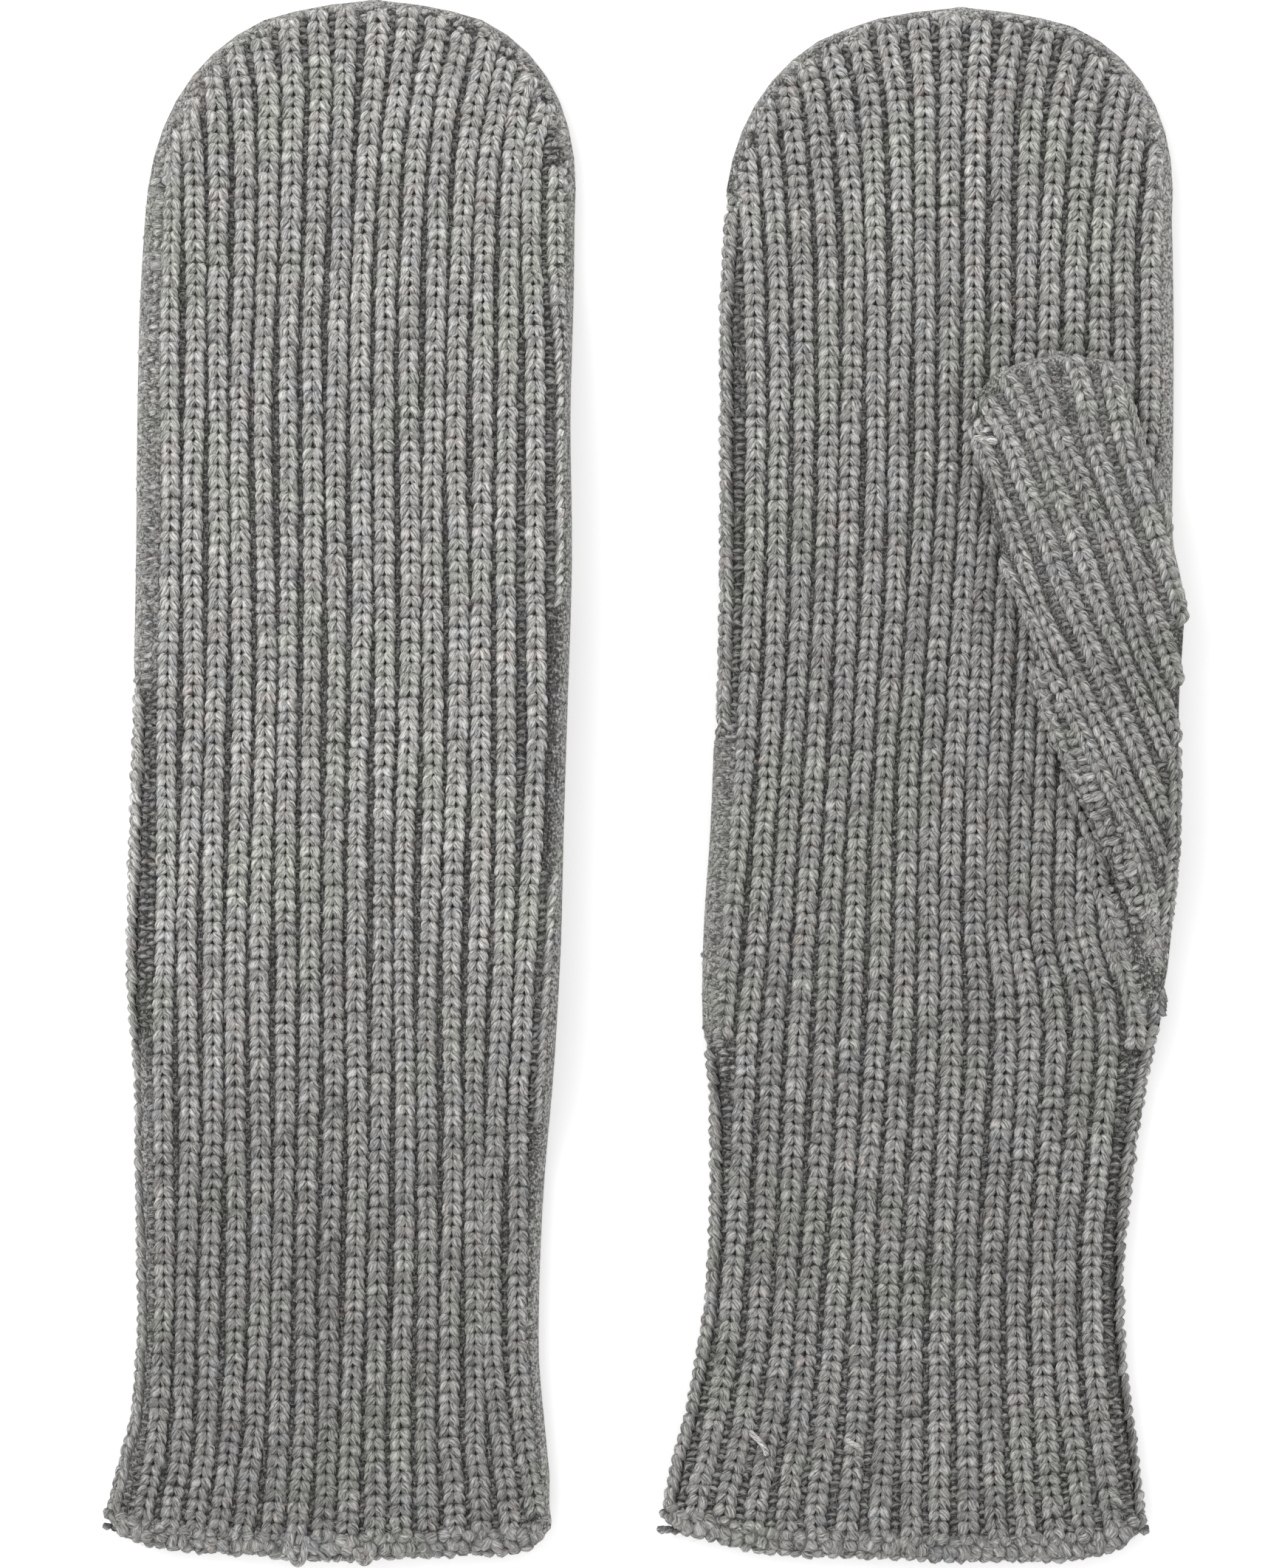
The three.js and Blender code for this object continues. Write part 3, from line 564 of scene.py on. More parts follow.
class Shader:
    def __init__(self, name):
        self.material = bpy.data.materials.new(name)
        self.material.use_nodes = True
        self.tree = self.material.node_tree
        self.tree.nodes.clear()

    def node(self, kind, settings=None, sockets=None, out=0):
        made = addNode(self.tree, kind, settings, sockets)
        return Wire(self, made.outputs[out]) if len(made.outputs) else made

    def mix(self, factor, first, second, blend="MIX"):
        def colour(value):
            return value if isinstance(value, Wire) else (*value, 1)
        return self.node("ShaderNodeMix", {"data_type": "RGBA", "blend_type": blend},
                         {0: factor, 6: colour(first), 7: colour(second)}, out=2)

    def attribute(self, name):
        return self.node("ShaderNodeAttribute", {"attribute_name": name}, out="Fac")

    def noise(self, place, scale, detail=2.0, roughness=0.5):
        return self.node("ShaderNodeTexNoise", {}, {
            "Vector": place, "Scale": scale, "Detail": detail, "Roughness": roughness}, out="Fac")

    def vector(self, x, y, z):
        return self.node("ShaderNodeCombineXYZ", {}, {0: x, 1: y, 2: z})

    def apart(self, vector, axis):
        return self.node("ShaderNodeSeparateXYZ", {}, {0: vector}, out=axis)

    def colours(self, value, stops):
        made = addNode(self.tree, "ShaderNodeValToRGB", {}, {0: value})
        elements = made.color_ramp.elements
        while len(elements) < len(stops):
            elements.new(1)
        for element, (place, colour) in zip(elements, stops):
            element.position = place
            element.color = (*colour, 1)
        return Wire(self, made.outputs[0])

    def finish(self, **sockets):
        names = {"baseColor": "Base Color", "roughness": "Roughness", "normal": "Normal",
                 "sheen": "Sheen Weight", "sheenRoughness": "Sheen Roughness",
                 "specular": "Specular IOR Level", "emission": "Emission Color",
                 "emissionStrength": "Emission Strength"}
        surface = self.node("ShaderNodeBsdfPrincipled", {}, {names[k]: v for k, v in sockets.items()})
        self.node("ShaderNodeOutputMaterial", {}, {"Surface": surface})
        return self.material


# The heathered wool: a grey that wanders between cool, brownish and greenish patches.
yarn = {
    "dark": (0.10, 0.098, 0.094), "mid": (0.39, 0.384, 0.368), "light": (0.90, 0.89, 0.86),
    "cool": (0.95, 0.99, 1.05), "brown": (1.08, 0.985, 0.96), "green": (0.985, 1.015, 0.95),
    "patch": 260.0, "fleck": 1300.0, "cloud": 70.0, "contrast": 4.7, "middle": 0.59,
}


def heather(s, place):
    patch = s.noise(place, yarn["patch"], 3, 0.6)
    fleck = s.noise(place, yarn["fleck"], 2, 0.6)
    browner = s.noise(place, yarn["patch"] * 0.8, 3, 0.65) * 0.7 + fleck * 0.3
    cool = s.mix((patch * 0.6 + fleck * 0.4).ramp(0.5, 0.66), (1, 1, 1), yarn["cool"])
    brown = s.mix(browner.ramp(0.54, 0.68), cool, yarn["brown"])
    return s.mix(s.noise(place, yarn["patch"] * 0.35, 2, 0.5).ramp(0.5, 0.7), brown, yarn["green"])


# Wool yarn: streaked strands and fibres over the heather, with painted shade where the yarn lies low between
# the stitches.
def yarnMaterial(name, contrast=1.0, lift=0.0):
    s = Shader(name)
    place = s.node("ShaderNodeTexCoord", out="Object")
    uv = s.node("ShaderNodeUVMap", {"uv_map": "UVMap"})
    across, length = s.apart(uv, 0), s.apart(uv, 1)
    tint, seed, deep = (s.attribute(key) for key in ("tint", "seed", "deep"))
    wander = s.noise(s.vector(length * 1.4 + seed * 9.1, across, seed * 31.7), 1.6, 1) - 0.5
    lane = across - length * 0.28 + wander * 0.18
    strands = s.noise(s.vector(lane * 8.0, length * 1.0, seed * 53.0), 1.5, 1, 0.5)
    fibres = s.noise(s.vector(lane * 22.0, length * 2.6, seed * 91.0), 1.6, 2, 0.7)
    value = (strands * 0.5 + fibres * 0.5 - 0.5) * (yarn["contrast"] * contrast) + yarn["middle"] + lift
    # painted shade: darker where a point of the stitch lies deep below its crest
    value = value - deep * deep * 0.5
    grey = s.colours(value.limit(), [
        (0.0, yarn["dark"]), (0.42, yarn["mid"]), (0.74, (0.56, 0.552, 0.53)), (1.0, yarn["light"])])
    shade = s.mix(0.85, grey, heather(s, place), "MULTIPLY")
    patches = (s.noise(place, yarn["cloud"], 1, 0.5) - 0.5) * 0.3 + 1.0
    colour = s.node("ShaderNodeVectorMath", {"operation": "SCALE"},
                    {0: shade, "Scale": (tint * 0.9 + 0.55) * patches})
    bump = s.node("ShaderNodeBump", {}, {"Strength": 1.0, "Distance": 0.0003,
                                         "Height": strands * 0.7 + fibres * 0.3})
    return s.finish(baseColor=colour, roughness=fibres * 0.1 + 0.82, normal=bump, sheen=0.18,
                    sheenRoughness=0.5, specular=0.18)


# The cloth behind the stitches, felted, with painted shade: dark in the furrows, lighter where it is felted.
def groundMaterial(name):
    s = Shader(name)
    place = s.node("ShaderNodeTexCoord", out="Object")
    fuzz = s.noise(place, 2600, 3, 0.65)
    hairs = s.noise(s.node("ShaderNodeMapping", {}, {"Vector": place, "Scale": (1, 0.35, 1)}), 5200, 2, 0.6)
    felt = s.attribute("felt")
    # painted shade: the cloth is given a dark grey, lightened where it is felted
    value = ((fuzz * 0.6 + hairs * 0.4) - 0.5) * (3.6 - felt * 1.0) + 0.24 + felt * 0.7
    grey = s.colours(value.limit(), [
        (0.0, (0.03, 0.029, 0.028)), (0.45, tuple(0.12 * c for c in (1, 0.98, 0.95))),
        (1.0, tuple(0.58 * c for c in (1, 0.99, 0.95)))])
    colour = s.mix(0.7, grey, heather(s, place), "MULTIPLY")
    bump = s.node("ShaderNodeBump", {}, {"Strength": 0.8, "Distance": 0.0002, "Height": fuzz})
    return s.finish(baseColor=colour, roughness=0.92, normal=bump, specular=0.12)


# A stitch is two plump legs that meet at its head and spread, tails tucked behind the stitch below.
stitchShape = {
    "leg": [  # across, along, out, half width, half height, from the tail to the head
        (0.92, -0.84, -0.32, 0.42, 0.34), (0.82, -0.40, 0.00, 0.63, 0.56), (0.72, 0.10, 0.22, 0.72, 0.66),
        (0.58, 0.58, 0.31, 0.70, 0.66), (0.46, 0.94, 0.22, 0.60, 0.56), (0.38, 1.16, 0.00, 0.36, 0.28),
    ],
    "plainLeg": [(0.92, -0.80, -0.25, 0.44, 0.34), (0.72, 0.20, 0.22, 0.72, 0.70),
                 (0.42, 1.10, 0.02, 0.44, 0.40)],
    "purl": [(-0.72, 0.00, -0.10, 0.20, 0.14), (0.0, 0.12, 0.06, 0.42, 0.36), (0.72, 0.0, -0.10, 0.20, 0.14)],
    "puff": [(0.0, -0.85, -0.10, 0.34, 0.28), (0.06, -0.45, 0.12, 0.70, 0.56), (0.06, 0.10, 0.18, 0.80, 0.64),
             (0.0, 0.55, 0.10, 0.66, 0.54), (-0.06, 0.88, -0.12, 0.32, 0.26)],
    "variants": 6, "purlVariants": 4, "seed": 11,
}


# A closed strand along a short path, as points, faces and places on the strand (across, along).
def strandMesh(path, angles, rng, wobble, mirror=1):
    path = np.array(path, float)
    path[:, :2] += rng.normal(0, wobble, (len(path), 2))
    heading = np.gradient(path[:, :2], axis=0)
    heading /= np.linalg.norm(heading, axis=1)[:, None]
    points, faces, uvs = [], [], []
    count = len(angles)
    for r, (x, y, z, wide, high) in enumerate(path):
        acrossX, acrossY = heading[r][1], -heading[r][0]
        for a in angles:
            edge = math.radians(a)
            reach = wide * math.cos(edge)
            points.append((mirror * (x + acrossX * reach), y + acrossY * reach, z + high * math.sin(edge)))
            uvs.append(((a + 40) / 260 + (1.0 if mirror > 0 else 0.0), r / (len(path) - 1)))
    for r in range(len(path) - 1):
        for k in range(count):
            n = (k + 1) % count
            faces.append([r * count + k, r * count + n, (r + 1) * count + n, (r + 1) * count + k])
    faces.append(list(range(count))[::-1])
    faces.append([(len(path) - 1) * count + k for k in range(count)])
    if mirror > 0:
        faces = [face[::-1] for face in faces]
    return points, faces, uvs


def templateMesh(name, strands, rise=0.85):
    points, faces, uvs = [], [], []
    for strandPoints, strandFaces, strandUvs in strands:
        base = len(points)
        points += strandPoints
        uvs += strandUvs
        faces += [[base + i for i in face] for face in strandFaces]
    mesh = newMesh(name, points, faces)
    layer = mesh.uv_layers.new(name="UVMap")
    for loop in mesh.loops:
        layer.data[loop.index].uv = uvs[loop.vertex_index]
    # deep: how far below the crest each point lies, which the yarn material turns into painted shade
    setAttribute(mesh, "deep", [float(np.clip(1 - p[2] / rise, 0, 1)) for p in points])
    return finishMesh(mesh)


# Strands of one kind that differ a little, in a collection for the stitches to be picked from.
def templates(name, path, angles, variants, seed, wobble=0.04, sides=(-1, 1), rise=0.85):
    rng = np.random.default_rng(seed)
    group = bpy.data.collections.new(name)
    for v in range(variants):
        strands = [strandMesh(path, angles, rng, wobble, side) for side in sides]
        mesh = templateMesh(f"{name}{v:02d}", strands, rise)
        group.objects.link(bpy.data.objects.new(mesh.name, mesh))
    return group


roundAngles = [-38, 20, 90, 160, 218]
variants, seed = stitchShape["variants"], stitchShape["seed"]
fineStitches = templates("stitch", stitchShape["leg"], roundAngles, variants, seed)
coarseStitches = templates("plainStitch", stitchShape["plainLeg"], [-20, 60, 120, 200], variants, seed + 1)
purlBumps = templates("purl", stitchShape["purl"], [-10, 90, 190], stitchShape["purlVariants"], seed + 2,
                      0.06, (1,), 0.5)
puffs = templates("puff", stitchShape["puff"], roundAngles, variants, seed + 3, 0.07, (1,), 0.7)


# A loose fibre is a thin curved ribbon, narrowing to both ends.
fibreShape = {"length": 1.1, "width": 0.045, "variants": 8, "seed": 21}


def fibreTemplates():
    rng = np.random.default_rng(fibreShape["seed"])
    group = bpy.data.collections.new("fibre")
    for v in range(fibreShape["variants"]):
        t = np.linspace(-0.5, 0.5, 3)
        bend, curl = rng.uniform(-1.1, 1.1), rng.uniform(-0.9, 0.9)
        x = bend * (0.25 - t ** 2) * fibreShape["length"] * 0.5 + curl * t ** 3 * fibreShape["length"]
        z = (0.25 - t ** 2) * rng.uniform(0.1, 0.5)
        wide = fibreShape["width"] * np.array([0.25, 1.0, 0.25]) / 2
        points = []
        for i in range(3):
            points.append((x[i] - wide[i], t[i] * fibreShape["length"], z[i]))
            points.append((x[i] + wide[i], t[i] * fibreShape["length"], z[i] + wide[i] * 0.6))
        faces = [[2 * i, 2 * i + 1, 2 * i + 3, 2 * i + 2] for i in range(2)]
        mesh = newMesh(f"fibre{v:02d}", points, faces)
        group.objects.link(bpy.data.objects.new(mesh.name, mesh))
    return group


looseFibres = fibreTemplates()


# A geometry node tree with named inputs.
class Tree:
    def __init__(self, name, inputs):
        self.tree = bpy.data.node_groups.new(name, "GeometryNodeTree")
        self.tree.interface.new_socket(name="Geometry", in_out="INPUT", socket_type="NodeSocketGeometry")
        self.sockets = {}
        for label, kind in inputs.items():
            made = self.tree.interface.new_socket(name=label, in_out="INPUT", socket_type=kind)
            self.sockets[label] = made.identifier
        self.tree.interface.new_socket(name="Geometry", in_out="OUTPUT", socket_type="NodeSocketGeometry")
        self.entry = self.tree.nodes.new("NodeGroupInput")

    def node(self, kind, settings=None, sockets=None, out=0):
        return addNode(self.tree, kind, settings, sockets).outputs[out]

    def given(self, label):
        return self.entry.outputs[label]

    def named(self, attribute, kind):
        return self.node("GeometryNodeInputNamedAttribute", {"data_type": kind}, {"Name": attribute})


# Sets a stitch at each point, then shifts its surface a little so that no two look the same.
def stitchTree():
    t = Tree("setStitches", {"Stitches": "NodeSocketCollection", "Wobble": "NodeSocketFloat",
                             "Wobble Size": "NodeSocketFloat", "Yarn": "NodeSocketMaterial"})
    kinds = t.node("GeometryNodeCollectionInfo", {}, {
        "Collection": t.given("Stitches"), "Separate Children": True, "Reset Children": True})
    turn = t.node("FunctionNodeAxesToRotation", {"primary_axis": "Z", "secondary_axis": "Y"},
                  {0: t.named("out", "FLOAT_VECTOR"), 1: t.named("along", "FLOAT_VECTOR")})
    placed = t.node("GeometryNodeInstanceOnPoints", {}, {
        "Points": t.given("Geometry"), "Instance": kinds, "Pick Instance": True,
        "Instance Index": t.named("kind", "INT"), "Rotation": turn, "Scale": t.named("size", "FLOAT_VECTOR")})
    solid = t.node("GeometryNodeRealizeInstances", {}, {"Geometry": placed})
    place = t.node("GeometryNodeInputPosition")
    noise = t.node("ShaderNodeTexNoise", {}, {
        "Vector": place, "Scale": t.given("Wobble Size"), "Detail": 1.0}, out=1)
    centred = t.node("ShaderNodeVectorMath", {"operation": "SUBTRACT"}, {0: noise, 1: (0.5, 0.5, 0.5)})
    offset = t.node("ShaderNodeVectorMath", {"operation": "SCALE"}, {0: centred, "Scale": t.given("Wobble")})
    moved = t.node("GeometryNodeSetPosition", {}, {"Geometry": solid, "Offset": offset})
    smoothed = t.node("GeometryNodeSetShadeSmooth", {}, {"Geometry": moved})
    finished = t.node("GeometryNodeSetMaterial", {}, {"Geometry": smoothed, "Material": t.given("Yarn")})
    addNode(t.tree, "NodeGroupOutput", {}, {0: finished})
    return t


setStitches = stitchTree()


def addObject(name, mesh, material=None):
    made = bpy.data.objects.new(name, mesh)
    bpy.context.scene.collection.objects.link(made)
    if material:
        mesh.materials.append(material)
    return made


def knit(name, points, group, material, wobble=0.0002):
    guideMesh = newMesh(name + "Guide", points["place"])
    for key in [key for key in points if key != "place"]:
        setAttribute(guideMesh, key, points[key])
    guide = addObject(name + "Guide", guideMesh)
    modifier = guide.modifiers.new("stitches", "NODES")
    modifier.node_group = setStitches.tree
    for label, value in (("Stitches", group), ("Wobble", wobble), ("Wobble Size", 900.0), ("Yarn", material)):
        modifier[setStitches.sockets[label]] = value
    graph = bpy.context.evaluated_depsgraph_get()
    mesh = bpy.data.meshes.new_from_object(guide.evaluated_get(graph), preserve_all_data_layers=True,
                                           depsgraph=graph)
    mesh.name = name
    flat = np.empty(len(mesh.vertices) * 3)  # the underside presses flat on the table
    mesh.vertices.foreach_get("co", flat)
    flat[2::3] = np.maximum(flat[2::3], 0.0)
    mesh.vertices.foreach_set("co", flat)
    bpy.data.objects.remove(guide)
    triangles = sum(len(p.vertices) - 2 for p in mesh.polygons)
    print(name, len(points["place"]), "stitches,", triangles, "triangles")
    return addObject(name, mesh)


# A closed wall on the form of one layer of cloth: its outer side at furrow level, its inner side flat.
def wallMesh(name, form, grid):
    rows, columns = grid.shape[:2]
    x, y = grid[..., 0].ravel(), grid[..., 1].ravel()
    place, normal = onFace(form, x, y)
    felt = feltAt(form, x, y)
    place = place + normal * (bulgeAt(form, x, y) * form["relief"])[:, None]
    outer = place.reshape(rows, columns, 3)
    rim = form["middle"] + form["lift"](x, y).reshape(rows, columns) + form["up"] * 0.15
    outer[..., 2] = rim + np.maximum((outer[..., 2] - rim) * form["up"], 0.02) * form["up"]
    inner = outer.copy()
    inner[..., 2] = rim + form["up"] * np.clip((outer[..., 2] - rim) * form["up"] - cloth["wall"], 0, None)
    points = np.concatenate([outer.reshape(-1, 3), inner.reshape(-1, 3)])
    back = rows * columns
    faces = []
    for r in range(rows - 1):
        for c in range(columns - 1):
            a = r * columns + c
            faces.append([a, a + 1, a + columns + 1, a + columns])
            faces.append([back + a, back + a + columns, back + a + columns + 1, back + a + 1])
    ring = ([c for c in range(columns)] + [r * columns + columns - 1 for r in range(1, rows)]
            + [(rows - 1) * columns + c for c in range(columns - 2, -1, -1)]
            + [r * columns for r in range(rows - 2, 0, -1)])
    for a, b in zip(ring, ring[1:] + ring[:1]):
        faces.append([a, back + a, back + b, b])
    mesh = newMesh(name, points, faces)
    setAttribute(mesh, "felt", np.concatenate([felt, felt]))
    return finishMesh(mesh, weld=True)


# Places across and along one mitten, from low to high above the end of its cuff, or up to the tip.
def faceGrid(mitten, low, high, rows, columns=33):
    tip = mitten["tip"]
    s = crowded(columns, both=True)
    end = curve(mitten["end"], "y", s, key="across")
    if high is None:
        straight = np.linspace(-105 + low, tip["shoulder"], rows)
        levels = np.concatenate([straight, tip["shoulder"] + tip["height"] * crowded(rows // 4)[1:]])
    else:
        levels = np.linspace(-105 + low, -105 + high, rows)
    fade = 1 - smooth((levels + 105 - 6) / 20)
    y = levels[:, None] + (end[None] + 105) * fade[:, None]
    left, right = sideX(mitten, -1, y), sideX(mitten, 1, y)
    return np.dstack([left + (right - left) * (s[None] * 0.999 + 1) / 2, y])


def thumbGrid(shift, rows=60, columns=21):
    table = thumbShape["outline"]
    low, high = table["y"][0], table["y"][-1]
    y = low + (high - low) * crowded(rows)
    s = crowded(columns, both=True)
    left, right = curve(table, "left", y), curve(table, "right", y)
    x = left[:, None] + (right - left)[:, None] * (s[None] + 1) / 2 + shift
    return np.dstack([x, np.repeat(y[:, None], columns, 1)])


# How far a rib strays sideways from its even place.
def stray(mitten, x, y):
    if mitten is leftMitten:
        inside = x - sideX(mitten, 1, y)
        astray = curve(mitten["ribs"], "rightStray", y)
        return astray * smooth((inside + 10) / 7) + 0.65 * smooth((inside + 4) / 2)
    return -0.1 * np.maximum(x - 38, 0) * smooth((y + 31) / 13) * (1 - smooth((y - 25) / 25))


# Whether a height lies in any of the spans.
def within(y, spans):
    return np.any([(y >= low) & (y <= high) for low, high in spans] or [np.zeros(np.shape(y), bool)], axis=0)


# All the ribs of one face: one along each side where it has one, and those that run its length between them.
# Where a side has none, the purl cloth runs on to the outline.
def faceRibs(mitten, top):
    line = mittenLines[mitten["name"]]
    plain = {"spans": [(-106, 84)], "bare": 2.0, "purl": False}
    edges = mitten["edges"] if top else {"left": plain, "right": plain}

    def edgeX(direction, y):
        offset = curve(mitten["ribs"], "leftEdge" if direction < 0 else "rightEdge", y)
        offset = np.maximum(offset, 0.0) if top else 2.9 - offset
        return sideX(mitten, direction, y) - direction * offset

    ribs = []
    for direction, side in bothSides:
        for low, high in edges[side]["spans"]:
            ribs.append({"x": lambda y, direction=direction: edgeX(direction, y), "high": high,
                         "low": max(low, -105.4 + cloth["band"] - 0.8), "pitch": lambda y: y * 0 + 3.2})
        levels = np.arange(-100, 101, 1.0)
        bare = ~within(levels, edges[side]["spans"]) & (edges[side]["purl"] | (levels > 78))
        for first, stop in runs(bare) if top else []:  # no rib, but the furrow beside it is filled up to here
            ribs.append({"x": lambda y, direction=direction: sideX(mitten, direction, y) + direction * 0.9,
                         "low": levels[first], "high": levels[stop - 1], "pitch": None})
    for number in range(mitten["first"] - 1, mitten["last"] + 1):
        def lineX(y, number=number):
            middle = (ribX(mitten, number, y) + ribX(mitten, number + 1, y)) / 2
            return middle + stray(mitten, middle, y) if top else middle

        def pitch(y, number=number):
            return ribX(mitten, number + 1, y) - ribX(mitten, number, y)

        y = np.arange(-108, 107, 0.5)
        x = lineX(y)
        distance, _ = inward(line, x, y)
        rooms = []
        for direction, side in bothSides:
            beside = direction * (edgeX(direction, y) - x) - 0.62 * pitch(y)
            alone = direction * (sideX(mitten, direction, y) - x) - edges[side]["bare"]
            rooms.append(np.where(within(y, edges[side]["spans"]), beside, alone))
        clear = (y > 78) | (np.minimum(*rooms) > 0)
        tipEnd = np.where(y > 76, np.where(x > mitten["tip"]["centre"] + 14, mitten["tipEnd"], 0.8), 0.1)
        keep = (y > endY(mitten, x) + cloth["band"] - 1.2) & (distance > tipEnd) & clear
        for first, stop in runs(keep):
            if stop - first > 5:
                ribs.append({"x": lineX, "low": y[first], "high": y[stop - 1], "pitch": pitch})
    return besideWedge(ribs) if mitten is rightMitten and top else ribs


# The palm's ribs run out at the rib that bounds the wedge below the thumb.
def besideWedge(ribs):
    low, high = wedge["low"], wedge["high"]
    parts = []
    for rib in ribs:
        y = np.arange(rib["low"], rib["high"], 0.4)
        bound = wedgeX("edge", np.clip(y, low, high))
        keep = (y < low + 1) | (y > 4) | (rib["x"](y) < bound - 0.5)
        for first, stop in runs(keep):
            if stop - first > 6:
                parts.append({**rib, "low": y[first], "high": y[stop - 1]})
    parts.append({"x": lambda y: wedgeX("edge", y), "low": low, "high": 1.5, "raised": 0.45,
                  "pitch": lambda y: y * 0 + 3.0})
    return parts


# The purl cloth of the wedge, between the rib that bounds it and the first rib of the thumb.
def wedgePoints(palmForm, flapForm, rng):
    x, y = [], []
    lean = math.tan(math.radians(wedge["lean"]))
    for level in np.arange(wedge["low"], wedge["high"] + 8, wedge["row"]):
        for step in np.arange(0.9, 9.0, wedge["bump"]):
            px = float(wedgeX("edge", level)) + step + rng.normal(0, 0.12)
            py = level + (step - 0.9) * lean * 0.7 + rng.normal(0, 0.12)
            inner = float(wedgeX("a0" if py > -14 else "a", py))
            if px < inner - 1.0 and py < wedge["high"] + 4:
                x.append(px)
                y.append(py)
    x, y, count = np.array(x), np.array(y), len(x)
    distance, _ = inward(flapForm["line"], x, y, True)
    onPalm, palmOut = onFace(palmForm, x, y)
    onFlap, flapOut = onFace(flapForm, x, y)
    flap = (distance > 0.2)[:, None]
    out = np.where(flap, flapOut, palmOut)
    turn = np.radians(wedge["lean"] + 90 + rng.normal(0, 16, count))
    return stitchSet(
        rng, np.where(flap, onFlap, onPalm) + out * 0.15,
        np.column_stack([-np.sin(turn) * 0.8, np.cos(turn), np.zeros(count)]),
        out + rng.normal(0, 0.1, out.shape), sizes(rng, count, (0.76, 0.08), (1.02, 0.12), (0.95, 0.12)),
        wedge["tint"] + rng.normal(0, 0.08, count))


# All the ribs of one layer of a thumb: those of the table, and the two that run along its fold.
def thumbRibs(form, shift):
    ribs = []
    names = [key for key in thumbShape["ribs"] if key != "y"]

    def foldX(y):
        return curve(thumbShape["outline"], "right", y) + shift

    for name in names:
        def lineX(y, name=name):
            return wedgeX(name, y) + shift

        def pitch(y, name=name):
            own = wedgeX(name, y)
            slope = wedgeX(name, y + 0.5) - wedgeX(name, y - 0.5)
            near = [np.where((y > thumbShape["starts"][other]) & (y < thumbShape["ends"][other]),
                             np.abs(wedgeX(other, y) - own), 9.0) for other in names if other != name]
            widest = 2.9 if name == "edge" else 3.5
            return np.minimum(np.min(near, axis=0) / np.sqrt(1 + slope ** 2) * 1.08, widest)

        y = np.arange(thumbShape["starts"][name], thumbShape["ends"][name], 0.4)
        distance, _ = inward(form["line"], lineX(y), y, True)
        beside = (foldX(y) - lineX(y) > 2.3) | (y > thumbShape["foldRib"][1])
        inside = np.flatnonzero((distance > np.where(y > 48, 1.0, 0.3)) & beside)
        if len(inside) > 6:
            ribs.append({"x": lineX, "low": y[inside[0]], "high": y[inside[-1]], "pitch": pitch})
    for key, depth, width in (("foldRib", 0.9, 2.7), ("foldLine", 0.35, 1.0)):
        low, high = thumbShape[key]
        ribs.append({"x": lambda y, depth=depth: foldX(y) - depth, "low": low, "high": high,
                     "pitch": lambda y, width=width: y * 0 + width})
    return ribs


# The yarn drawn together at the tip of the thumb.
def gatherPoints(form, rng):
    x, y, heading = np.array(thumbShape["gather"]).T
    place, out = onFace(form, x, y)
    turn, count = np.radians(heading), len(x)
    return stitchSet(
        rng, place + out * 0.35, np.column_stack([np.cos(turn), np.sin(turn), np.zeros(count)]),
        out + rng.normal(0, 0.1, out.shape), sizes(rng, count, (0.62, 0.05), (1.05, 0.12), (0.9, 0.08)),
        rng.uniform(0.6, 1.0, count))


def knitRibs(form, ribs, rng):
    return joined([ribPoints(form, rib, rng) for rib in ribs if rib["pitch"]])


# Purl bumps beside the outline where no rib runs along it.
def stripPoints(mitten, form, rng):
    x, y = [], []
    for direction, side in bothSides:
        if not mitten["edges"][side]["purl"]:
            continue
        for level in np.arange(-98, 80, 1.42):
            if not within(level, mitten["edges"][side]["spans"]):
                outlineX = float(sideX(mitten, direction, level))
                for depth in (0.35, 1.75):
                    x.append(outlineX - direction * (depth + rng.normal(0, 0.1)))
                    y.append(level + (depth - 1) * 0.3 + rng.normal(0, 0.12))
    x, y, count = np.array(x), np.array(y), len(x)
    place, out = onFace(form, x, y)
    turn = np.radians(90 + rng.normal(0, 14, count))
    return stitchSet(
        rng, place + out * (bulgeAt(form, x, y) * form["relief"] * 0.6 - 0.05)[:, None],
        np.column_stack([-np.sin(turn), np.cos(turn), np.zeros(count)]), out + rng.normal(0, 0.1, out.shape),
        sizes(rng, count, (0.74, 0.07), (0.88, 0.1), (0.8, 0.1)),
        0.4 + curve(form["tone"], "shade", y) + rng.normal(0, 0.07, count))


# Small felted bumps scattered along the outline of the tip.
def rimPoints(form, low, count, rng):
    line = form["line"]
    x = rng.uniform(line[:, 0].min(), line[:, 0].max(), count * 30)
    y = rng.uniform(low, line[:, 1].max(), count * 30)
    distance, _ = inward(line, x, y, form["closed"])
    keep = np.flatnonzero((distance > 0.6) & (distance < rng.uniform(1.0, 3.2, len(x))))[:count]
    x, y, count = x[keep], y[keep], len(keep)
    place, out = onFace(form, x, y)
    turn = rng.uniform(0, 2 * math.pi, count)
    return stitchSet(
        rng, place + out * (bulgeAt(form, x, y) * form["relief"] - 0.25)[:, None],
        np.column_stack([np.cos(turn), np.sin(turn), np.zeros(count)]), out + rng.normal(0, 0.2, out.shape),
        sizes(rng, count, (0.62, 0.1), (0.8, 0.15), (0.62, 0.1)), rng.uniform(0.35, 0.6, count))


# The cast-off end of the cuff: rows of puffed loops side by side, the last of them round the very end. Each
# row has its height above the end, its loops' size and lean, and the step between them.
castOff = {"rows": [(0.4, 1.15, 75, 1.7), (1.7, 1.3, 20, 1.7), (3.2, 1.15, 60, 1.75)], "inset": 1.1,
           "corner": 2.4, "tone": 0.17}


